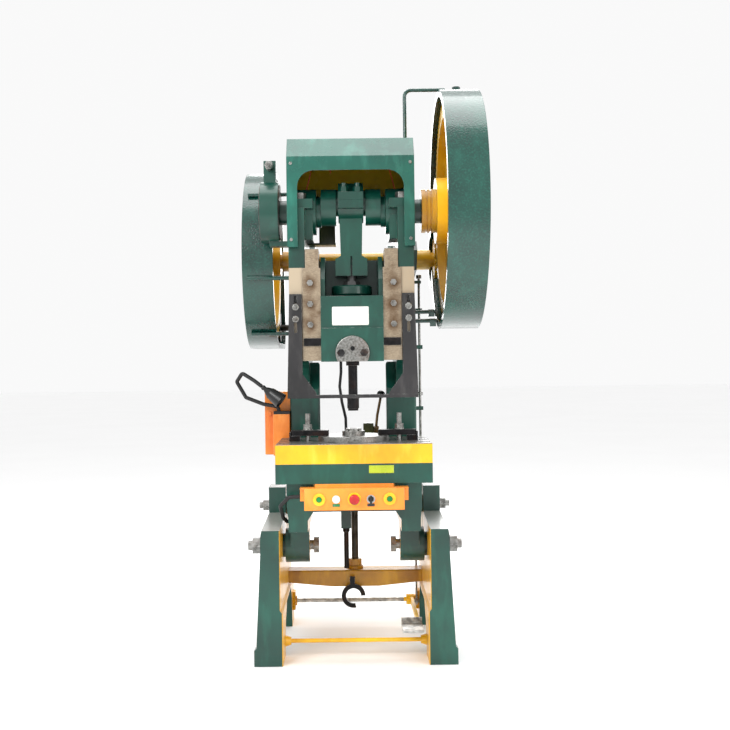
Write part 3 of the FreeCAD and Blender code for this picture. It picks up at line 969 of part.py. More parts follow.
def cabinet_door():
    outer = box(CABINET_X0, CABINET_X0 + DOOR_T - 0.5, CABINET_Y0, CABINET_Y1, CABINET_Z0, CABINET_Z1)
    outer = rounded(outer, 4, lambda e: e.BoundBox.XMax < CABINET_X0 + 1)
    inner = box(CABINET_X0 + 3, CABINET_X0 + DOOR_T, CABINET_Y0 + 3, CABINET_Y1 - 3,
                CABINET_Z0 + 3, CABINET_Z1 - 3)
    lock = rod_y(16, CABINET_Y0 - 8, CABINET_Y0 + 2, CABINET_X0 + 20, 880)
    return join([outer.cut(inner), lock])


def lamp_arm():
    """Lamp foot on the junction box and the bent gooseneck, which ends just short of the ball."""
    foot = box(CABINET_X0 + DOOR_T + 2, CABINET_X1, JUNCTION_FRONT + 3, CABINET_Y0 - 4, JUNCTION_TOP,
               JUNCTION_TOP + 11)
    end = LAMP_JOINT - LAMP_AXIS * (LAMP_BALL_R + 0.3)
    knee = LAMP_JOINT - LAMP_AXIS * 48
    route = [(-291, 36, JUNCTION_TOP + 10), (-297, 36, 909), (-352, 36, 919), (-420, 36, 946), (-455, 30, 1008),
             (-432, 18, 1042), tuple(knee), tuple(end)]
    neck = tube_path(route, 9, NECK_D)
    return join([foot, neck])


def lamp_head():
    """Ball, neck cone, bell-shaped shade and lens on one axis."""
    start = LAMP_JOINT + LAMP_AXIS * 6
    ball = Part.makeSphere(LAMP_BALL_R, LAMP_JOINT)
    cap = Part.makeCone(8, 22, 28, start, LAMP_AXIS)
    shade = Part.makeCone(22, 31, 54, start + LAMP_AXIS * 28, LAMP_AXIS)
    hollow = Part.makeCone(19, 29, 52, start + LAMP_AXIS * 31, LAMP_AXIS)
    lens = Part.makeCylinder(28, 4, start + LAMP_AXIS * 70, LAMP_AXIS)
    return join([join([cap, shade]).cut(hollow), lens, ball])


def cables():
    """Cable behind the slide, and the armoured lead from the operator panel."""
    behind = tube_path([(-46, 10, HEAD_BOTTOM + 7.5), (-46, 10, 1040), (-52, 16, 985), (-44, 20, 925),
                        (-30, 40, 860), (-28, 60, TABLE_TOP + CABLE_LIFT)], 30, CABLE_D)
    lead = tube_path([(-PANEL_HALF - 15.3, -384, 606), (-232, -384, 604), (-264, -362, 570), (-258, -300, 520),
                      (-SKIRT_OUT - 7.3, -262, 500)], 14, 14)
    return group([behind, lead])


# ---- clutch control ------------------------------------------------------------------
def clutch_bracket():
    """Trip bracket under the clutch boss and the three guides of the pull rod."""
    arm = prism_x([(-120, 1500), (-60, 1540), (60, 1540), (150, 1480), (248, 1420), (248, 1396), (-60, 1430)],
                  PLATE_OUT, 250)
    latch = carve(box(249, ROD_X + 9, ROD_Y - 9, ROD_Y + 9, 1398, 1410),
                  [rod_z(ROD_D + 2 * ROD_FIT, 1390, 1420, ROD_X, ROD_Y)])
    guides = []
    for z in (1280, 1130, 880):
        lug = box(PLATE_OUT, ROD_X + 12, ROD_Y - 12, ROD_Y + 12, z, z + 16)
        guides.append(lug.cut(rod_z(ROD_D + 2 * ROD_FIT, z - 1, z + 20, ROD_X, ROD_Y)))
    return group([join([arm, latch])] + guides)


def pull_rod():
    rod = rod_z(ROD_D, ROD_FOOT, ROD_HEAD, ROD_X, ROD_Y)
    collars = [rod_z(22, z, z + 14, ROD_X, ROD_Y) for z in (ROD_HEAD - 15, 940)]
    eye = rod_x(26, ROD_X - 5, ROD_X + 5, ROD_Y, ROD_FOOT)
    return join([rod, eye] + collars)


def pedal_link():
    """Rod that hangs the side lever of the pedal under the pull rod."""
    rod = box(LINK_X - 4, LINK_X + 4, ROD_Y - 4, ROD_Y + 4, PEDAL_Z + 8, LINK_TOP - 5)
    eyes = [rod_x(28, LINK_X - 5, LINK_X + 5, ROD_Y, PEDAL_Z), rod_x(24, LINK_X - 5, LINK_X + 5, ROD_Y, LINK_TOP)]
    return carve(join([rod] + eyes), [rod_x(LINK_PIN_D + 2 * LINK_FIT, 200, 300, ROD_Y, PEDAL_Z)])


def pedal():
    """Treadle plate, its side lever and the cross shaft it turns with."""
    shaft = rod_x(PEDAL_D, -FOOT_INNER + 8, FOOT_INNER - 8, PEDAL_Y, PEDAL_Z)
    lever = prism_x([(-225, PEDAL_Z + 9), (PEDAL_Y + 10, PEDAL_Z - 12), (PEDAL_Y + 10, PEDAL_Z + 12),
                     (-225, PEDAL_Z + 24)], 226, 238)
    boss = rod_x(44, 210, FOOT_INNER - 18.5, PEDAL_Y, PEDAL_Z)
    pin = rod_x(LINK_PIN_D, 232, LINK_X + 9, ROD_Y, PEDAL_Z)
    plate = box(TREAD_X0, TREAD_X1, TREAD_FRONT, TREAD_BACK, PEDAL_Z + 13, PEDAL_Z + 13 + TREAD_T)
    lip = box(TREAD_X0, TREAD_X1, TREAD_BACK - 7, TREAD_BACK, PEDAL_Z + 13, PEDAL_Z + 40)
    return join([shaft, lever, boss, pin, plate, lip])


NODES = {
    "leg_right": leg, "leg_left": lambda: mirrored(leg()), "cross_beam": cross_beam, "tie_rod": tie_rod,
    "base_fittings": base_fittings, "hanging_bar": hanging_bar,
    "tilt_nut": tilt_nut, "tilt_screw": tilt_screw,
    "c_frame": c_frame, "bearing_caps": bearing_caps,
    "bearing_bushes": bearing_bushes, "crankshaft": crankshaft, "brake_drum": brake_drum,
    "brake_band": brake_band, "brake_bolt": brake_bolt, "connecting_rod": connecting_rod, "rod_cap": rod_cap,
    "ball_screw": ball_screw, "ram": ram, "shank_clamp": shank_clamp, "ram_screws": ram_screws,
    "punch_holder": punch_holder, "knock_bar": knock_bar, "gibs": gibs, "bull_gear": bull_gear,
    "back_shaft": back_shaft, "flywheel": flywheel, "motor_pulley": motor_pulley, "v_belts": v_belts,
    "motor": motor, "motor_bracket": motor_bracket, "gear_guard": gear_guard, "flywheel_guard": flywheel_guard,
    "guard_stays": guard_stays, "hood": hood, "guard_plates": guard_plates, "frame_screws": frame_screws,
    "lubricators": lambda: group([oil_box(), pump_body()]), "oil_tubes": oil_tubes, "pump_lever": pump_lever,
    "bolster_plate": bolster_plate, "die_set": lambda: group([die_disc(), die_insert()]),
    "strap_clamps": strap_clamps, "clamp_studs": clamp_studs, "control_box": control_box,
    "panel_fittings": panel_fittings, "start_button_left": lambda: push_button(-BUTTON_X),
    "start_button_right": lambda: push_button(BUTTON_X), "stop_button": stop_button, "selector": selector,
    "cabinet": cabinet, "cabinet_door": cabinet_door, "lamp_arm": lamp_arm, "lamp_head": lamp_head,
    "cables": cables, "clutch_bracket": clutch_bracket, "pull_rod": pull_rod, "pedal_link": pedal_link,
    "pedal": pedal,
}

os.makedirs("parts", exist_ok=True)
for name, build in NODES.items():
    shape = build()
    shape.exportStep("parts/" + name + ".step")
    state = "valid" if shape.isValid() else "INVALID"
    print(name, len(shape.Solids), "solids", state, round(shape.Volume / 1e6, 3))
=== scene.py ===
import json
import math

import bmesh
import bpy
from mathutils import Euler, Matrix, Vector


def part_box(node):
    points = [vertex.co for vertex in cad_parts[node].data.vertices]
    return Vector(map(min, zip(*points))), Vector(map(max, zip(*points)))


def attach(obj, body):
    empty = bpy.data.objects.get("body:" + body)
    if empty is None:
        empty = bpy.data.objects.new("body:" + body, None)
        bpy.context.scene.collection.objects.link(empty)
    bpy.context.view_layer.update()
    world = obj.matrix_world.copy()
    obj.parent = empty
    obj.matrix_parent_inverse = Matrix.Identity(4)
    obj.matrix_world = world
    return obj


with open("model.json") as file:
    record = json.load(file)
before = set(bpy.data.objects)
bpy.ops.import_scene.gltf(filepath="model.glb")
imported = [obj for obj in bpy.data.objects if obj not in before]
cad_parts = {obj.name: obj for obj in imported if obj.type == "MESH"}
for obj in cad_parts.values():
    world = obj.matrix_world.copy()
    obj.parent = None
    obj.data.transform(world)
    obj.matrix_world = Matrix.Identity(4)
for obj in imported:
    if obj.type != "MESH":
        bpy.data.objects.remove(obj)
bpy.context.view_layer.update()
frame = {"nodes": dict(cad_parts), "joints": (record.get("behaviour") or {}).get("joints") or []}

# Looks of the inclinable geared press: finishes for every CAD node and the small pieces that a
# painted casting carries.  Metres, in the CAD model's own frame.

NODES = frame["nodes"]
JOINTS = {joint["name"]: joint for joint in frame["joints"]}


def rgb(red, green, blue):
    """Linear colour from the usual 0 to 255 scale."""
    def channel(value):
        share = value / 255
        return share / 12.92 if share < 0.04045 else ((share + 0.055) / 1.055) ** 2.4
    return (channel(red), channel(green), channel(blue), 1.0)


GREEN, GREEN_DARK, GREEN_LIGHT = rgb(8, 76, 62), rgb(3, 46, 38), rgb(30, 110, 90)
HAMMER, HAMMER_DARK, HAMMER_LIGHT = rgb(6, 74, 62), rgb(2, 40, 35), rgb(26, 104, 88)
HOOD_GREEN, HOOD_DARK, HOOD_LIGHT = rgb(18, 98, 83), rgb(9, 70, 60), rgb(66, 146, 128)
YELLOW, YELLOW_DARK, YELLOW_LIGHT = rgb(248, 198, 20), rgb(206, 146, 12), rgb(255, 226, 90)
OCHRE, OCHRE_DARK = rgb(222, 166, 30), rgb(140, 92, 22)
ORANGE, ORANGE_DARK, ORANGE_LIGHT = rgb(255, 156, 48), rgb(214, 110, 26), rgb(255, 190, 104)
BLACK, BLACK_DARK, BLACK_LIGHT = rgb(38, 36, 38), rgb(14, 14, 15), rgb(92, 90, 88)
STEEL, STEEL_DARK, STEEL_LIGHT = rgb(176, 176, 172), rgb(96, 94, 90), rgb(226, 226, 222)
DARK_STEEL, DARK_STEEL_DEEP = rgb(72, 72, 72), rgb(26, 26, 28)
CAST, CAST_DARK, OIL_BROWN = rgb(176, 160, 136), rgb(118, 102, 84), rgb(84, 56, 26)
# PRIMER_AND_SHEEN is the grey primer in paint chips, and also a painted highlight on the upward faces of the
# leg tops.
RUST, PRIMER_AND_SHEEN, DIRT = rgb(112, 62, 30), rgb(150, 152, 146), rgb(34, 30, 24)
BRASS, COPPER_TUBE = rgb(196, 150, 72), rgb(232, 96, 34)
MOTOR_PAINT, MOTOR_DARK = rgb(46, 96, 98), rgb(20, 52, 56)
RUBBER = rgb(24, 24, 25)
BUTTON_GREEN, BUTTON_GREEN_DARK = rgb(16, 150, 70), rgb(8, 104, 48)
WHITE_ENAMEL, WHITE_GREY = rgb(240, 240, 234), rgb(200, 200, 194)


# ---- material graphs -----------------------------------------------------------------
class Graph:
    """One material's node tree, with short calls for the nodes that the finishes share."""

    def __init__(self, name):
        self.material = bpy.data.materials.new(name)
        self.material.use_nodes = True
        self.tree = self.material.node_tree
        self.tree.nodes.clear()
        self.shader = self.add("ShaderNodeBsdfPrincipled")
        output = self.add("ShaderNodeOutputMaterial")
        self.tree.links.new(self.shader.outputs["BSDF"], output.inputs["Surface"])
        coordinates = self.add("ShaderNodeTexCoord")
        self.place = coordinates.outputs["Object"]
        self.facing = coordinates.outputs["Normal"]

    def add(self, kind, **settings):
        node = self.tree.nodes.new(kind)
        for key, value in settings.items():
            setattr(node, key, value)
        return node

    def put(self, socket, value):
        if isinstance(value, bpy.types.NodeSocket):
            self.tree.links.new(value, socket)
        else:
            socket.default_value = value

    def math(self, operation, a, b=0.0, clamp=False):
        node = self.add("ShaderNodeMath", operation=operation, use_clamp=clamp)
        self.put(node.inputs[0], a)
        self.put(node.inputs[1], b)
        return node.outputs[0]

    def xyz(self, vector):
        node = self.add("ShaderNodeSeparateXYZ")
        self.put(node.inputs[0], vector)
        return node.outputs

    def stretched(self, factors):
        node = self.add("ShaderNodeMapping")
        self.put(node.inputs["Vector"], self.place)
        node.inputs["Scale"].default_value = factors
        return node.outputs["Vector"]

    def noise(self, scale, detail=4.0, roughness=0.55, vector=None, distortion=0.0):
        node = self.add("ShaderNodeTexNoise")
        self.put(node.inputs["Vector"], vector or self.place)
        node.inputs["Scale"].default_value = scale
        node.inputs["Detail"].default_value = detail
        node.inputs["Roughness"].default_value = roughness
        node.inputs["Distortion"].default_value = distortion
        return node.outputs["Fac"]

    def cells(self, scale, feature="F1", vector=None):
        node = self.add("ShaderNodeTexVoronoi", feature=feature)
        self.put(node.inputs["Vector"], vector or self.place)
        node.inputs["Scale"].default_value = scale
        return node.outputs["Distance"]

    def bands(self, scale, direction="Z", distortion=0.0):
        node = self.add("ShaderNodeTexWave", wave_type="BANDS", bands_direction=direction)
        self.put(node.inputs["Vector"], self.place)
        node.inputs["Scale"].default_value = scale
        node.inputs["Distortion"].default_value = distortion
        return node.outputs["Fac"]

    def ramp(self, factor, low, high):
        """0 below low, 1 above high, straight between."""
        node = self.add("ShaderNodeMapRange")
        self.put(node.inputs["Value"], factor)
        node.inputs["From Min"].default_value = low
        node.inputs["From Max"].default_value = high
        return node.outputs["Result"]

    def span(self, factor, low, high):
        """A factor from 0 to 1 spread from low to high."""
        node = self.add("ShaderNodeMapRange")
        self.put(node.inputs["Value"], factor)
        node.inputs["To Min"].default_value = low
        node.inputs["To Max"].default_value = high
        return node.outputs["Result"]

    def blend(self, factor, a, b):
        node = self.add("ShaderNodeMix", data_type="RGBA")
        self.put(node.inputs["Factor"], factor)
        self.put(node.inputs[6], a)
        self.put(node.inputs[7], b)
        return node.outputs[2]

    def edges(self, radius):
        """A mask of convex and concave edges, and the softly rounded normal it comes from."""
        soft = self.add("ShaderNodeBevel", samples=3)
        soft.inputs["Radius"].default_value = radius
        flat = self.add("ShaderNodeNewGeometry")
        dot = self.add("ShaderNodeVectorMath", operation="DOT_PRODUCT")
        self.put(dot.inputs[0], soft.outputs[0])
        self.put(dot.inputs[1], flat.outputs["Normal"])
        turned = self.math("SUBTRACT", 1.0, dot.outputs["Value"])
        return self.math("MULTIPLY", turned, 7.0, clamp=True), soft.outputs[0]

    def bump(self, height, strength, distance, normal=None):
        node = self.add("ShaderNodeBump")
        node.inputs["Strength"].default_value = strength
        node.inputs["Distance"].default_value = distance
        self.put(node.inputs["Height"], height)
        if normal is not None:
            self.put(node.inputs["Normal"], normal)
        return node.outputs["Normal"]

    def finish(self, colour, roughness, normal, metallic=0.0, coat=0.0):
        self.put(self.shader.inputs["Base Color"], colour)
        self.put(self.shader.inputs["Roughness"], roughness)
        self.put(self.shader.inputs["Metallic"], metallic)
        self.put(self.shader.inputs["Normal"], normal)
        self.shader.inputs["Coat Weight"].default_value = coat
        self.shader.inputs["Coat Roughness"].default_value = 0.12
        return self.material


def paint(name, colour, dark, light, rough=(0.22, 0.46), grain=0.35, wear=0.5, zones=(), coat=0.25,
          hammer=False):
    """Gloss enamel brushed or sprayed on iron: drifting tone, grime in patches, chipped edges."""
    g = Graph(name)
    drift = g.noise(3.2, 5.0)
    brush = g.noise(26.0, 6.0, vector=g.stretched((1.0, 1.0, 0.28)))
    tone = g.blend(g.ramp(drift, 0.34, 0.66), dark, colour)
    tone = g.blend(g.math("MULTIPLY", g.ramp(brush, 0.52, 0.78), 0.35), tone, light)
    for mask, zone_colour in zones:
        tone = g.blend(mask(g), tone, zone_colour)
    if hammer:
        dimple = g.cells(190.0, "SMOOTH_F1")
        tone = g.blend(g.math("MULTIPLY", g.ramp(dimple, 0.42, 0.72), 0.32), tone, light)
        height = g.math("ADD", dimple, g.math("MULTIPLY", g.noise(60.0, 3.0), 0.5))
    else:
        height = g.math("ADD", g.noise(150.0, 3.0), g.math("MULTIPLY", g.noise(18.0, 2.0), 2.0))
    edge, soft = g.edges(0.0028)
    chips = g.ramp(g.noise(38.0, 7.0, 0.65), 0.50, 0.60)
    chip_mask = g.math("MULTIPLY", g.math("MULTIPLY", edge, chips), wear)
    grime = g.math("MULTIPLY", g.ramp(g.noise(7.0, 8.0, 0.7), 0.56, 0.74), 0.30)
    tone = g.blend(grime, tone, DIRT)
    tone = g.blend(chip_mask, tone, PRIMER_AND_SHEEN)
    gloss = g.span(g.noise(11.0, 5.0), *rough)
    normal = g.bump(height, grain, 0.0016 if hammer else 0.0008, soft)
    return g.finish(tone, gloss, normal, coat=coat)


def metal(name, colour, dark, light, rough=(0.24, 0.5), brushed=None, stain=0.25, stain_colour=None,
          metallic=0.9, grain=0.25, zones=()):
    """Machined or rolled metal: tool marks along one direction, stains, brighter worn edges."""
    g = Graph(name)
    along = g.stretched(brushed or (1.0, 1.0, 1.0))
    marks = g.noise(140.0 if brushed else 45.0, 5.0, vector=along)
    tone = g.blend(g.ramp(marks, 0.3, 0.7), dark, colour)
    for mask, zone_colour in zones:
        tone = g.blend(mask(g), tone, zone_colour)
    blots = g.ramp(g.noise(9.0, 8.0, 0.7, distortion=0.4), 0.50, 0.68)
    tone = g.blend(g.math("MULTIPLY", blots, stain), tone, stain_colour or RUST)
    edge, soft = g.edges(0.0018)
    tone = g.blend(g.math("MULTIPLY", edge, 0.6), tone, light)
    gloss = g.span(g.math("ADD", g.math("MULTIPLY", marks, 0.6), g.math("MULTIPLY", blots, 0.4)), *rough)
    normal = g.bump(marks, grain, 0.0004, soft)
    return g.finish(tone, gloss, normal, metallic=metallic)


def plastic(name, colour, dark, rough=(0.3, 0.42), coat=0.0):
    """Moulded plastic or rubber with a fine grain and handling marks."""
    g = Graph(name)
    tone = g.blend(g.ramp(g.noise(22.0, 6.0), 0.35, 0.7), dark, colour)
    edge, soft = g.edges(0.0012)
    tone = g.blend(g.math("MULTIPLY", edge, 0.15), tone, WHITE_GREY)
    gloss = g.span(g.noise(34.0, 4.0), *rough)
    return g.finish(tone, gloss, g.bump(g.noise(420.0, 2.0), 0.2, 0.0003, soft), coat=coat)


# ---- masks for two-colour castings ---------------------------------------------------
def below(g, value, limit):
    return g.math("LESS_THAN", value, limit)


def above(g, value, limit):
    return g.math("GREATER_THAN", value, limit)


def both(g, *masks):
    result = masks[0]
    for mask in masks[1:]:
        result = g.math("MULTIPLY", result, mask)
    return result


def size_of(g, value):
    return g.math("ABSOLUTE", value)


def inward_walls(half_gap, top):
    """Faces that look sideways into the gap between the legs, up to a height."""
    def mask(g):
        place, facing = g.xyz(g.place), g.xyz(g.facing)
        inward = below(g, g.math("MULTIPLY", place[0], facing[0]), 0.0)
        sideways = above(g, size_of(g, facing[0]), 0.5)
        return both(g, inward, sideways, below(g, size_of(g, place[0]), half_gap), below(g, place[2], top))
    return mask


# Upward faces between two heights. The light grey given to them is a painted highlight of lit tops, not a
# finish of their own.
def painted_sheen_on_tops(low, high):
    def mask(g):
        place, facing = g.xyz(g.place), g.xyz(g.facing)
        return both(g, above(g, facing[2], 0.6), above(g, place[2], low), below(g, place[2], high))
    return mask


def front_strip(inner, low, high, depth):
    """Machined strips on the front of the head, outside the slide guides."""
    def mask(g):
        place = g.xyz(g.place)
        return both(g, above(g, size_of(g, place[0]), inner), above(g, place[2], low),
                    below(g, place[2], high), below(g, place[1], depth))
    return mask


def ring_below(y, z, radius):
    """What lies nearer than a radius to an axis along X."""
    def mask(g):
        place = g.xyz(g.place)
        dy, dz = g.math("SUBTRACT", place[1], y), g.math("SUBTRACT", place[2], z)
        reach = g.math("SQRT", g.math("ADD", g.math("MULTIPLY", dy, dy), g.math("MULTIPLY", dz, dz)))
        return below(g, reach, radius)
    return mask


def spots(points, radius):
    """Dark oil stains round screws: soft discs seen from the front."""
    def mask(g):
        place = g.xyz(g.place)
        ragged = g.math("MULTIPLY", g.noise(30.0, 6.0), radius)
        total = 0.0
        for x, z in points:
            dx = g.math("SUBTRACT", size_of(g, place[0]), x)
            dz = g.math("MULTIPLY", g.math("SUBTRACT", place[2], z), 0.7)
            reach = g.math("SQRT", g.math("ADD", g.math("MULTIPLY", dx, dx), g.math("MULTIPLY", dz, dz)))
            total = g.math("ADD", total, g.ramp(g.math("ADD", reach, ragged), 1.5 * radius, 0.7 * radius))
        return g.math("MULTIPLY", total, 0.85, clamp=True)
    return mask


def high_rear(low, front):
    def mask(g):
        place, facing = g.xyz(g.place), g.xyz(g.facing)
        return both(g, above(g, place[2], low), above(g, place[1], front), below(g, facing[1], -0.5))
    return mask


# ---- sizes taken from the frame ------------------------------------------------------
CRANK = Vector(JOINTS["crank_turn"]["pos_m"])
RAM_LOW, RAM_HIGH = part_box("ram")
GIB_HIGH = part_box("gibs")[1]
BOLSTER_LOW, BOLSTER_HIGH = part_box("bolster_plate")
LEG_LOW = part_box("leg_right")[0]
DRUM_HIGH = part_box("brake_drum")[1]
HUB_FACE = 0.314          # the outer side of the bull gear's clutch boss
SPANNER_REACH = 0.06      # half the width that the hanging spanner takes
BRACKET_FRONT = 0.24      # the pedal brackets lie behind this
BALL_SCREW_NECK = 0.281   # height of the ball screw's bare neck over the slide's foot
GREASE_EDGE = 0.0045      # how far the oily ring reaches past the brake drum
GIB_SCREWS = [(0.150, 1.216), (0.150, 1.290), (0.150, 1.366)]


# ---- finishes of the CAD nodes -------------------------------------------------------
def cad_finishes():
    gap = LEG_LOW.x + 0.010
    ochre_inside = (inward_walls(gap, 0.646), OCHRE)
    green = paint("green_enamel", GREEN, GREEN_DARK, GREEN_LIGHT)
    frame_green = paint("frame_enamel", GREEN, GREEN_DARK, GREEN_LIGHT,
                        zones=[(inward_walls(0.171, 0.646), OCHRE),
                               (front_strip(0.1765, 1.087, 1.421, -0.318), CAST)])
    # The grey on the upward faces of the leg tops is a painted highlight that stands in for the lit green
    # slopes.
    leg_green = paint("leg_enamel", GREEN, GREEN_DARK, GREEN_LIGHT,
                      zones=[ochre_inside, (painted_sheen_on_tops(0.44, 0.61), PRIMER_AND_SHEEN)])
    sheet = paint("hood_enamel", HOOD_GREEN, HOOD_DARK, HOOD_LIGHT, rough=(0.18, 0.34), grain=0.2,
                  zones=[(high_rear(1.70, 0.05), YELLOW)])
    hammer = paint("hammer_enamel", HAMMER, HAMMER_DARK, HAMMER_LIGHT, rough=(0.16, 0.32), grain=0.45,
                   hammer=True, coat=0.5)
    yellow = paint("yellow_enamel", YELLOW, YELLOW_DARK, YELLOW_LIGHT, rough=(0.26, 0.5), wear=0.6)
    # The cross beam carries the base's yellow paint darkened to ochre and brown: painted shade for the shadow
    # under the table.
    shaded_beam_yellow = paint("beam_enamel_painted_shade", OCHRE, OCHRE_DARK, YELLOW, rough=(0.3, 0.55), wear=0.7)
    bolster = paint("bolster_enamel", YELLOW, YELLOW_DARK, YELLOW_LIGHT, rough=(0.24, 0.42), wear=0.8,
                    zones=[(bolster_bare, STEEL_DARK)])
    orange = paint("orange_powder", ORANGE, ORANGE_DARK, ORANGE_LIGHT, rough=(0.3, 0.44), grain=0.5,
                   wear=0.3)
    black = paint("black_enamel", BLACK, BLACK_DARK, BLACK_LIGHT, rough=(0.34, 0.6), wear=0.9, coat=0.0)
    ram_green = paint("slide_enamel", GREEN, GREEN_DARK, GREEN_LIGHT, wear=1.0,
                      zones=[(slide_bare, STEEL)])
    band_green = paint("band_enamel", GREEN, GREEN_DARK, GREEN_LIGHT,
                       zones=[(ring_below(CRANK.y, CRANK.z, DRUM_HIGH.z - CRANK.z + GREASE_EDGE), OIL_BROWN)])
    crank_green = paint("crank_enamel", GREEN, GREEN_DARK, GREEN_LIGHT)
    motor = paint("motor_enamel", MOTOR_PAINT, MOTOR_DARK, GREEN_LIGHT, rough=(0.3, 0.5))
    steel = metal("bright_steel", STEEL, STEEL_DARK, STEEL_LIGHT, brushed=(1.0, 9.0, 1.0), stain=0.3)
    dark = metal("dark_steel", DARK_STEEL, DARK_STEEL_DEEP, STEEL, rough=(0.32, 0.6), stain=0.35)
    black_oxide = metal("black_oxide", BLACK, BLACK_DARK, STEEL, rough=(0.3, 0.55), stain=0.2, metallic=0.7)
    gear = paint("gear_enamel", YELLOW, YELLOW_DARK, YELLOW_LIGHT, rough=(0.26, 0.5), wear=0.6,
                 zones=[(clutch_boss, OCHRE)])
    cast = metal("scraped_iron", CAST, CAST_DARK, STEEL_LIGHT, rough=(0.3, 0.62), metallic=0.35, stain=0.75,
                 stain_colour=OIL_BROWN, brushed=(1.0, 1.0, 8.0),
                 zones=[(spots(GIB_SCREWS, 0.030), OIL_BROWN), (gib_keeper, BLACK_DARK)])
    iron = metal("turned_iron", STEEL_DARK, DARK_STEEL_DEEP, STEEL, rough=(0.3, 0.55), stain=0.3)
    zinc = metal("zinc_plate", STEEL, STEEL_DARK, STEEL_LIGHT, rough=(0.2, 0.42), stain=0.12)
    base_steel = metal("base_zinc", STEEL, STEEL_DARK, STEEL_LIGHT, rough=(0.22, 0.45), stain=0.2,
                       metallic=0.6, zones=[(spanner, BLACK_DARK), (pedal_brackets, YELLOW_DARK)])
    brass = metal("bearing_bronze", BRASS, OCHRE_DARK, YELLOW_LIGHT, rough=(0.24, 0.4), stain=0.3)
    copper = plastic("orange_oil_tube", COPPER_TUBE, rgb(190, 70, 24), rough=(0.2, 0.3))
    rubber = plastic("black_rubber", RUBBER, BLACK_DARK, rough=(0.42, 0.66))
    cable = threaded("cable_jacket", RUBBER, BLACK_DARK, 150.0, "Z", 0.0, (0.4, 0.6))
    screw = threaded("threaded_steel", STEEL_DARK, DARK_STEEL_DEEP, 75.0, "Z", 0.85, (0.28, 0.5))
    lubricator = paint("lubricator_enamel", rgb(96, 104, 52), rgb(58, 64, 30), rgb(150, 156, 90))
    tilt = paint("tilt_screw_enamel", OCHRE, OCHRE_DARK, YELLOW, rough=(0.34, 0.6), wear=0.6)
    return {
        "leg_right": leg_green, "leg_left": leg_green, "cross_beam": shaded_beam_yellow, "tie_rod": yellow,
        "base_fittings": base_steel, "hanging_bar": black_oxide, "tilt_nut": tilt, "tilt_screw": screw,
        "c_frame": frame_green, "bearing_caps": green, "bearing_bushes": brass, "crankshaft": crank_green,
        "brake_drum": iron, "brake_band": band_green, "brake_bolt": zinc, "connecting_rod": green,
        "rod_cap": green, "ball_screw": ball_finish(), "ram": ram_green, "shank_clamp": steel,
        "ram_screws": dark, "punch_holder": black_oxide, "knock_bar": black_oxide, "gibs": cast,
        "bull_gear": gear, "back_shaft": yellow, "flywheel": yellow, "motor_pulley": iron,
        "v_belts": rubber,
        "motor": motor, "motor_bracket": green, "gear_guard": hammer, "flywheel_guard": hammer,
        "guard_stays": hammer, "hood": sheet, "guard_plates": black, "frame_screws": zinc,
        "lubricators": lubricator, "oil_tubes": copper, "pump_lever": ochre_lever(),
        "bolster_plate": bolster,
        "die_set": steel, "strap_clamps": black_oxide, "clamp_studs": zinc, "control_box": orange,
        "panel_fittings": bezel_finish(),
        "start_button_left": plastic("button_green", BUTTON_GREEN, BUTTON_GREEN_DARK),
        "start_button_right": plastic("button_green_2", BUTTON_GREEN, BUTTON_GREEN_DARK),
        "stop_button": plastic("button_red", rgb(214, 28, 26), rgb(150, 14, 14), coat=0.3),
        "selector": plastic("button_black", RUBBER, BLACK_DARK), "cabinet": orange, "cabinet_door": orange,
        "lamp_arm": rubber, "lamp_head": plastic("lamp_black", RUBBER, BLACK_DARK, rough=(0.25, 0.4)),
        "cables": cable, "clutch_bracket": green, "pull_rod": zinc, "pedal_link": zinc,
        "pedal": pedal_finish(),
    }


def gib_keeper(g):
    return above(g, g.xyz(g.place)[2], GIB_HIGH.z - 0.001)


def clutch_boss(g):
    return below(g, g.xyz(g.place)[0], HUB_FACE)


def spanner(g):
    return below(g, size_of(g, g.xyz(g.place)[0]), SPANNER_REACH)


def pedal_brackets(g):
    return above(g, g.xyz(g.place)[1], BRACKET_FRONT)


def bolster_bare(g):
    """The machined top and the slots; the four sides stay painted."""
    place, facing = g.xyz(g.place), g.xyz(g.facing)
    top = above(g, facing[2], 0.3)
    inside_x = below(g, size_of(g, place[0]), BOLSTER_HIGH.x - 0.001)
    inside_y = both(g, above(g, place[1], BOLSTER_LOW.y + 0.001),
                    below(g, place[1], BOLSTER_HIGH.y - 0.001))
    return g.math("MAXIMUM", top, both(g, inside_x, inside_y))


def slide_bare(g):
    """Tongues, sides and underside of the slide are left machined."""
    place, facing = g.xyz(g.place), g.xyz(g.facing)
    side = above(g, size_of(g, facing[0]), 0.7)
    outer = above(g, size_of(g, place[0]), RAM_HIGH.x - 0.026)
    under = below(g, facing[2], -0.7)
    return g.math("MAXIMUM", both(g, side, outer), both(g, under, below(g, place[2], RAM_LOW.z + 0.002)))


def ball_finish():
    def screw_part(g):
        place = g.xyz(g.place)
        return above(g, place[2], RAM_LOW.z + BALL_SCREW_NECK)
    return paint("ball_seat_enamel", GREEN, GREEN_DARK, GREEN_LIGHT, zones=[(screw_part, DARK_STEEL)])


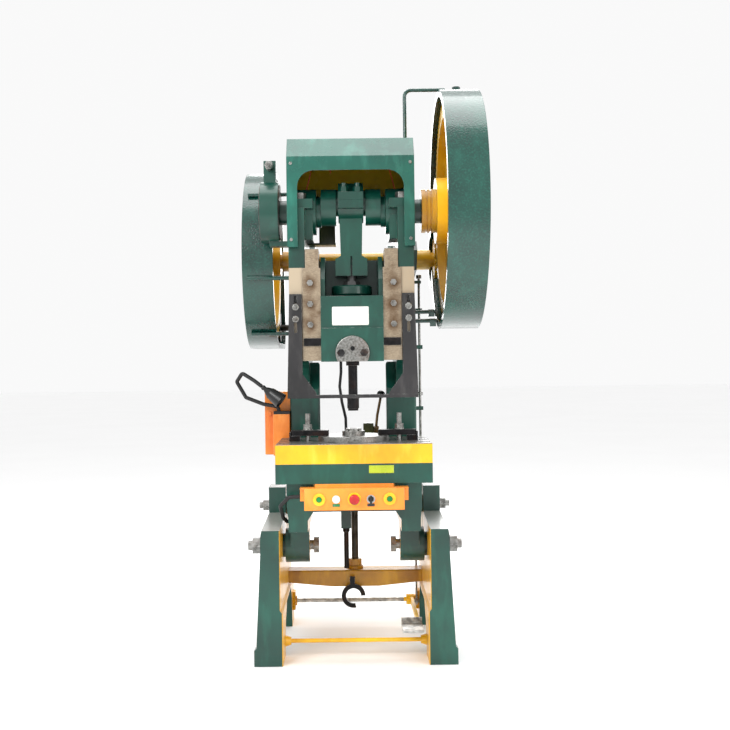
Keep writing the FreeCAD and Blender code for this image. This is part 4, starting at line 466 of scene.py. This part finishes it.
def bezel_finish():
    def lamp(g):
        place = g.xyz(g.place)
        return both(g, above(g, place[0], -0.080), below(g, place[0], -0.045))
    def key_ring(g):
        place = g.xyz(g.place)
        return both(g, above(g, place[0], 0.035), below(g, place[0], 0.085))
    g = Graph("bezel_yellow")
    tone = g.blend(g.ramp(g.noise(22.0, 6.0), 0.35, 0.7), rgb(214, 170, 14), rgb(250, 214, 30))
    tone = g.blend(lamp(g), tone, WHITE_ENAMEL)
    tone = g.blend(key_ring(g), tone, STEEL)
    edge, soft = g.edges(0.001)
    tone = g.blend(g.math("MULTIPLY", edge, 0.25), tone, WHITE_GREY)
    gloss = g.span(g.noise(34.0), 0.2, 0.36)
    return g.finish(tone, gloss, g.bump(g.noise(300.0), 0.15, 0.0003, soft), coat=0.2)


def ochre_lever():
    def ball(g):
        place = g.xyz(g.place)
        return above(g, place[2], 0.928)
    return paint("lever_enamel", rgb(190, 160, 110), OCHRE_DARK, STEEL_LIGHT, zones=[(ball, BLACK_DARK)])


def pedal_finish():
    """Bare treadle plate with raised ribs; the lever behind it is yellow."""
    g = Graph("treadle_metal")
    place = g.xyz(g.place)
    lever = both(g, above(g, place[1], -0.214), below(g, size_of(g, place[0]), 0.2405),
                 above(g, place[0], 0.2))
    ribs = g.bands(42.0, "DIAGONAL")
    tone = g.blend(g.ramp(g.noise(30.0, 5.0), 0.3, 0.7), STEEL_DARK, STEEL_LIGHT)
    tone = g.blend(lever, tone, YELLOW)
    metallic = g.math("SUBTRACT", 0.85, g.math("MULTIPLY", lever, 0.85))
    edge, soft = g.edges(0.0016)
    tone = g.blend(g.math("MULTIPLY", edge, 0.4), tone, STEEL_LIGHT)
    height = g.math("MULTIPLY", g.ramp(ribs, 0.55, 0.8), g.math("SUBTRACT", 1.0, lever))
    gloss = g.span(g.noise(18.0), 0.25, 0.5)
    return g.finish(tone, gloss, g.bump(height, 0.6, 0.0012, soft), metallic=metallic)


def threaded(name, colour, dark, scale, direction, strength, rough):
    """Bar or jacket with turns along its length cut as bump."""
    g = Graph(name)
    turns = g.bands(scale, direction)
    tone = g.blend(g.ramp(g.noise(20.0, 6.0), 0.3, 0.7), dark, colour)
    tone = g.blend(g.math("MULTIPLY", g.ramp(turns, 0.2, 0.0), 0.5 * strength), tone, DIRT)
    height = g.math("ADD", g.math("MULTIPLY", turns, strength), g.math("MULTIPLY", g.noise(240.0), 0.1))
    metallic = 0.8 if strength else 0.0
    return g.finish(tone, g.span(g.noise(26.0), *rough), g.bump(height, 0.8, 0.001), metallic=metallic)


def dress_cad():
    for node, material in cad_finishes().items():
        mesh = NODES[node].data
        if not mesh.materials:
            mesh.materials.append(material)
        for index in range(len(mesh.materials)):
            NODES[node].material_slots[index].link = "OBJECT"
            NODES[node].material_slots[index].material = material


dress_cad()


# ---- small pieces on the castings ----------------------------------------------------
def solid_piece(name, build, material, body, bevel=0.0006, segments=3):
    """A bmesh piece with rounded edges that rides on a CAD body."""
    mesh = bpy.data.meshes.new(name)
    work = bmesh.new()
    build(work)
    bmesh.ops.recalc_face_normals(work, faces=work.faces)
    work.to_mesh(mesh)
    work.free()
    piece = bpy.data.objects.new(name, mesh)
    bpy.context.scene.collection.objects.link(piece)
    mesh.materials.append(material)
    rounding = piece.modifiers.new("rounding", "BEVEL")
    rounding.width, rounding.segments, rounding.limit_method = bevel, segments, "ANGLE"
    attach(piece, body)
    return piece


def prism(work, outline, front, back):
    """A flat outline in X and Z, drawn out along Y."""
    near = [work.verts.new((x, front, z)) for x, z in outline]
    far = [work.verts.new((x, back, z)) for x, z in outline]
    work.faces.new(near)
    work.faces.new(list(reversed(far)))
    count = len(outline)
    for index in range(count):
        after = (index + 1) % count
        work.faces.new((near[index], far[index], far[after], near[after]))


def rounded(x0, x1, z0, z1, radius, steps=5):
    """Corners of a rounded rectangle in X and Z."""
    outline = []
    corners = ((x1 - radius, z1 - radius, 0), (x0 + radius, z1 - radius, 90),
               (x0 + radius, z0 + radius, 180), (x1 - radius, z0 + radius, 270))
    for x, z, start in corners:
        for step in range(steps + 1):
            turn = math.radians(start + 90.0 * step / steps)
            outline.append((x + radius * math.cos(turn), z + radius * math.sin(turn)))
    return outline


def disc(x, z, radius, steps=16):
    return [(x + radius * math.cos(2 * math.pi * k / steps), z + radius * math.sin(2 * math.pi * k / steps))
            for k in range(steps)]


def plate(name, corners, face, thickness, radius, material, body, inset=0.006, rivet=0.0016):
    """Blank sheet plate with a rivet head in each corner, standing on a front face."""
    x0, x1, z0, z1 = corners

    def build(work):
        prism(work, rounded(x0, x1, z0, z1, radius), face - thickness, face)
        for x in (x0 + inset, x1 - inset):
            for z in (z0 + inset, z1 - inset):
                prism(work, disc(x, z, rivet), face - thickness - 0.0005, face - thickness + 0.0002)
    return solid_piece(name, build, material, body, bevel=0.0003, segments=2)


def enamel_plate(name, colour, dark):
    return paint(name, colour, dark, WHITE_ENAMEL, rough=(0.2, 0.34), grain=0.1, wear=0.5)


def face_at(node, x, z):
    """How far forward a CAD node stands at a place seen from the front."""
    hit, place, _, _ = NODES[node].ray_cast(Vector((x, -1.0, z)), Vector((0.0, 1.0, 0.0)))
    if not hit:
        raise RuntimeError("nothing of " + node + " stands there")
    return place.y


def label(name, node, centre, size, radius, material, body, inset, rivet):
    """A blank plate on the front face of a CAD node."""
    (x, z), (width, height) = centre, size
    corners = (x - width / 2, x + width / 2, z - height / 2, z + height / 2)
    plate(name, corners, face_at(node, x, z), LABEL_T, radius, material, body, inset, rivet)


FRAME_BODY = "press_frame"
SLIDE_BODY = JOINTS["ram_slide"]["child"]
LABEL_T = 0.0010
label("slide_plate", "ram", (-0.006, 1.2455), (0.132, 0.067), 0.004,
      enamel_plate("plate_white", WHITE_ENAMEL, WHITE_GREY), SLIDE_BODY, 0.006, 0.0016)
label("table_label", "c_frame", (0.0975, 0.698), (0.089, 0.028), 0.002,
      enamel_plate("plate_lime", rgb(196, 214, 40), rgb(150, 168, 30)), FRAME_BODY, 0.004, 0.0012)
label("lamp_label", "control_box", (-0.064, 0.578), (0.026, 0.010), 0.001,
      enamel_plate("plate_green", rgb(30, 130, 70), rgb(16, 90, 46)), FRAME_BODY, 0.002, 0.0007)
label("selector_label", "control_box", (0.058, 0.578), (0.026, 0.010), 0.001,
      enamel_plate("plate_black", BLACK, BLACK_DARK), FRAME_BODY, 0.002, 0.0007)


# ---- camera, light and floor ---------------------------------------------------------
CAMERA_PLACE, CAMERA_LENS, CAMERA_ROLL = (0.0, -4.27, 1.08), 54.12, -0.72
CAMERA_SHIFT = (0.0169, -0.0041)
FLOOR_HALF = 40.0
LIGHTS = (
    # name, place, width and power in watts
    ("key", (-2.6, -3.6, 3.4), 2.2, 125.0),
    ("fill", (3.2, -3.2, 2.2), 2.6, 64.0),
    ("top", (0.0, 0.2, 4.6), 2.8, 90.0),
    ("rear", (0.6, 3.8, 2.6), 2.6, 90.0),
)


def aim(thing, target):
    direction = Vector(target) - thing.location
    thing.rotation_euler = direction.to_track_quat("-Z", "Y").to_euler()


def studio():
    scene = bpy.context.scene
    camera_data = bpy.data.cameras.new("camera")
    camera_data.sensor_width = 36.0
    camera_data.lens = CAMERA_LENS
    camera_data.shift_x, camera_data.shift_y = CAMERA_SHIFT
    camera = bpy.data.objects.new("camera", camera_data)
    level = Euler((math.radians(90.0), 0.0, 0.0)).to_matrix().to_4x4()
    roll = Matrix.Rotation(math.radians(CAMERA_ROLL), 4, "Z")
    camera.matrix_world = Matrix.Translation(CAMERA_PLACE) @ level @ roll
    scene.collection.objects.link(camera)
    scene.camera = camera
    for name, place, size, power in LIGHTS:
        lamp = bpy.data.lights.new(name, "AREA")
        lamp.shape, lamp.size, lamp.energy = "SQUARE", size, power
        light = bpy.data.objects.new(name, lamp)
        light.location = place
        aim(light, (0.0, 0.0, 1.0))
        scene.collection.objects.link(light)
    world = bpy.data.worlds.new("studio")
    world.use_nodes = True
    world.node_tree.nodes["Background"].inputs["Color"].default_value = (1.0, 1.0, 1.0, 1.0)
    world.node_tree.nodes["Background"].inputs["Strength"].default_value = 0.95
    scene.world = world
    scene.view_settings.view_transform = "Standard"
    half = FLOOR_HALF
    mesh = bpy.data.meshes.new("floor")
    corners = [(-half, -half, 0), (half, -half, 0), (half, half, 0), (-half, half, 0)]
    mesh.from_pydata(corners, [], [(0, 1, 2, 3)])
    floor = bpy.data.objects.new("floor", mesh)
    scene.collection.objects.link(floor)
    g = Graph("floor_paper")
    tone = g.blend(g.ramp(g.noise(0.8, 3.0), 0.3, 0.7), (0.96, 0.96, 0.96, 1.0), (0.98, 0.98, 0.98, 1.0))
    mesh.materials.append(g.finish(tone, 0.7, g.bump(g.noise(90.0), 0.05, 0.0005)))


studio()
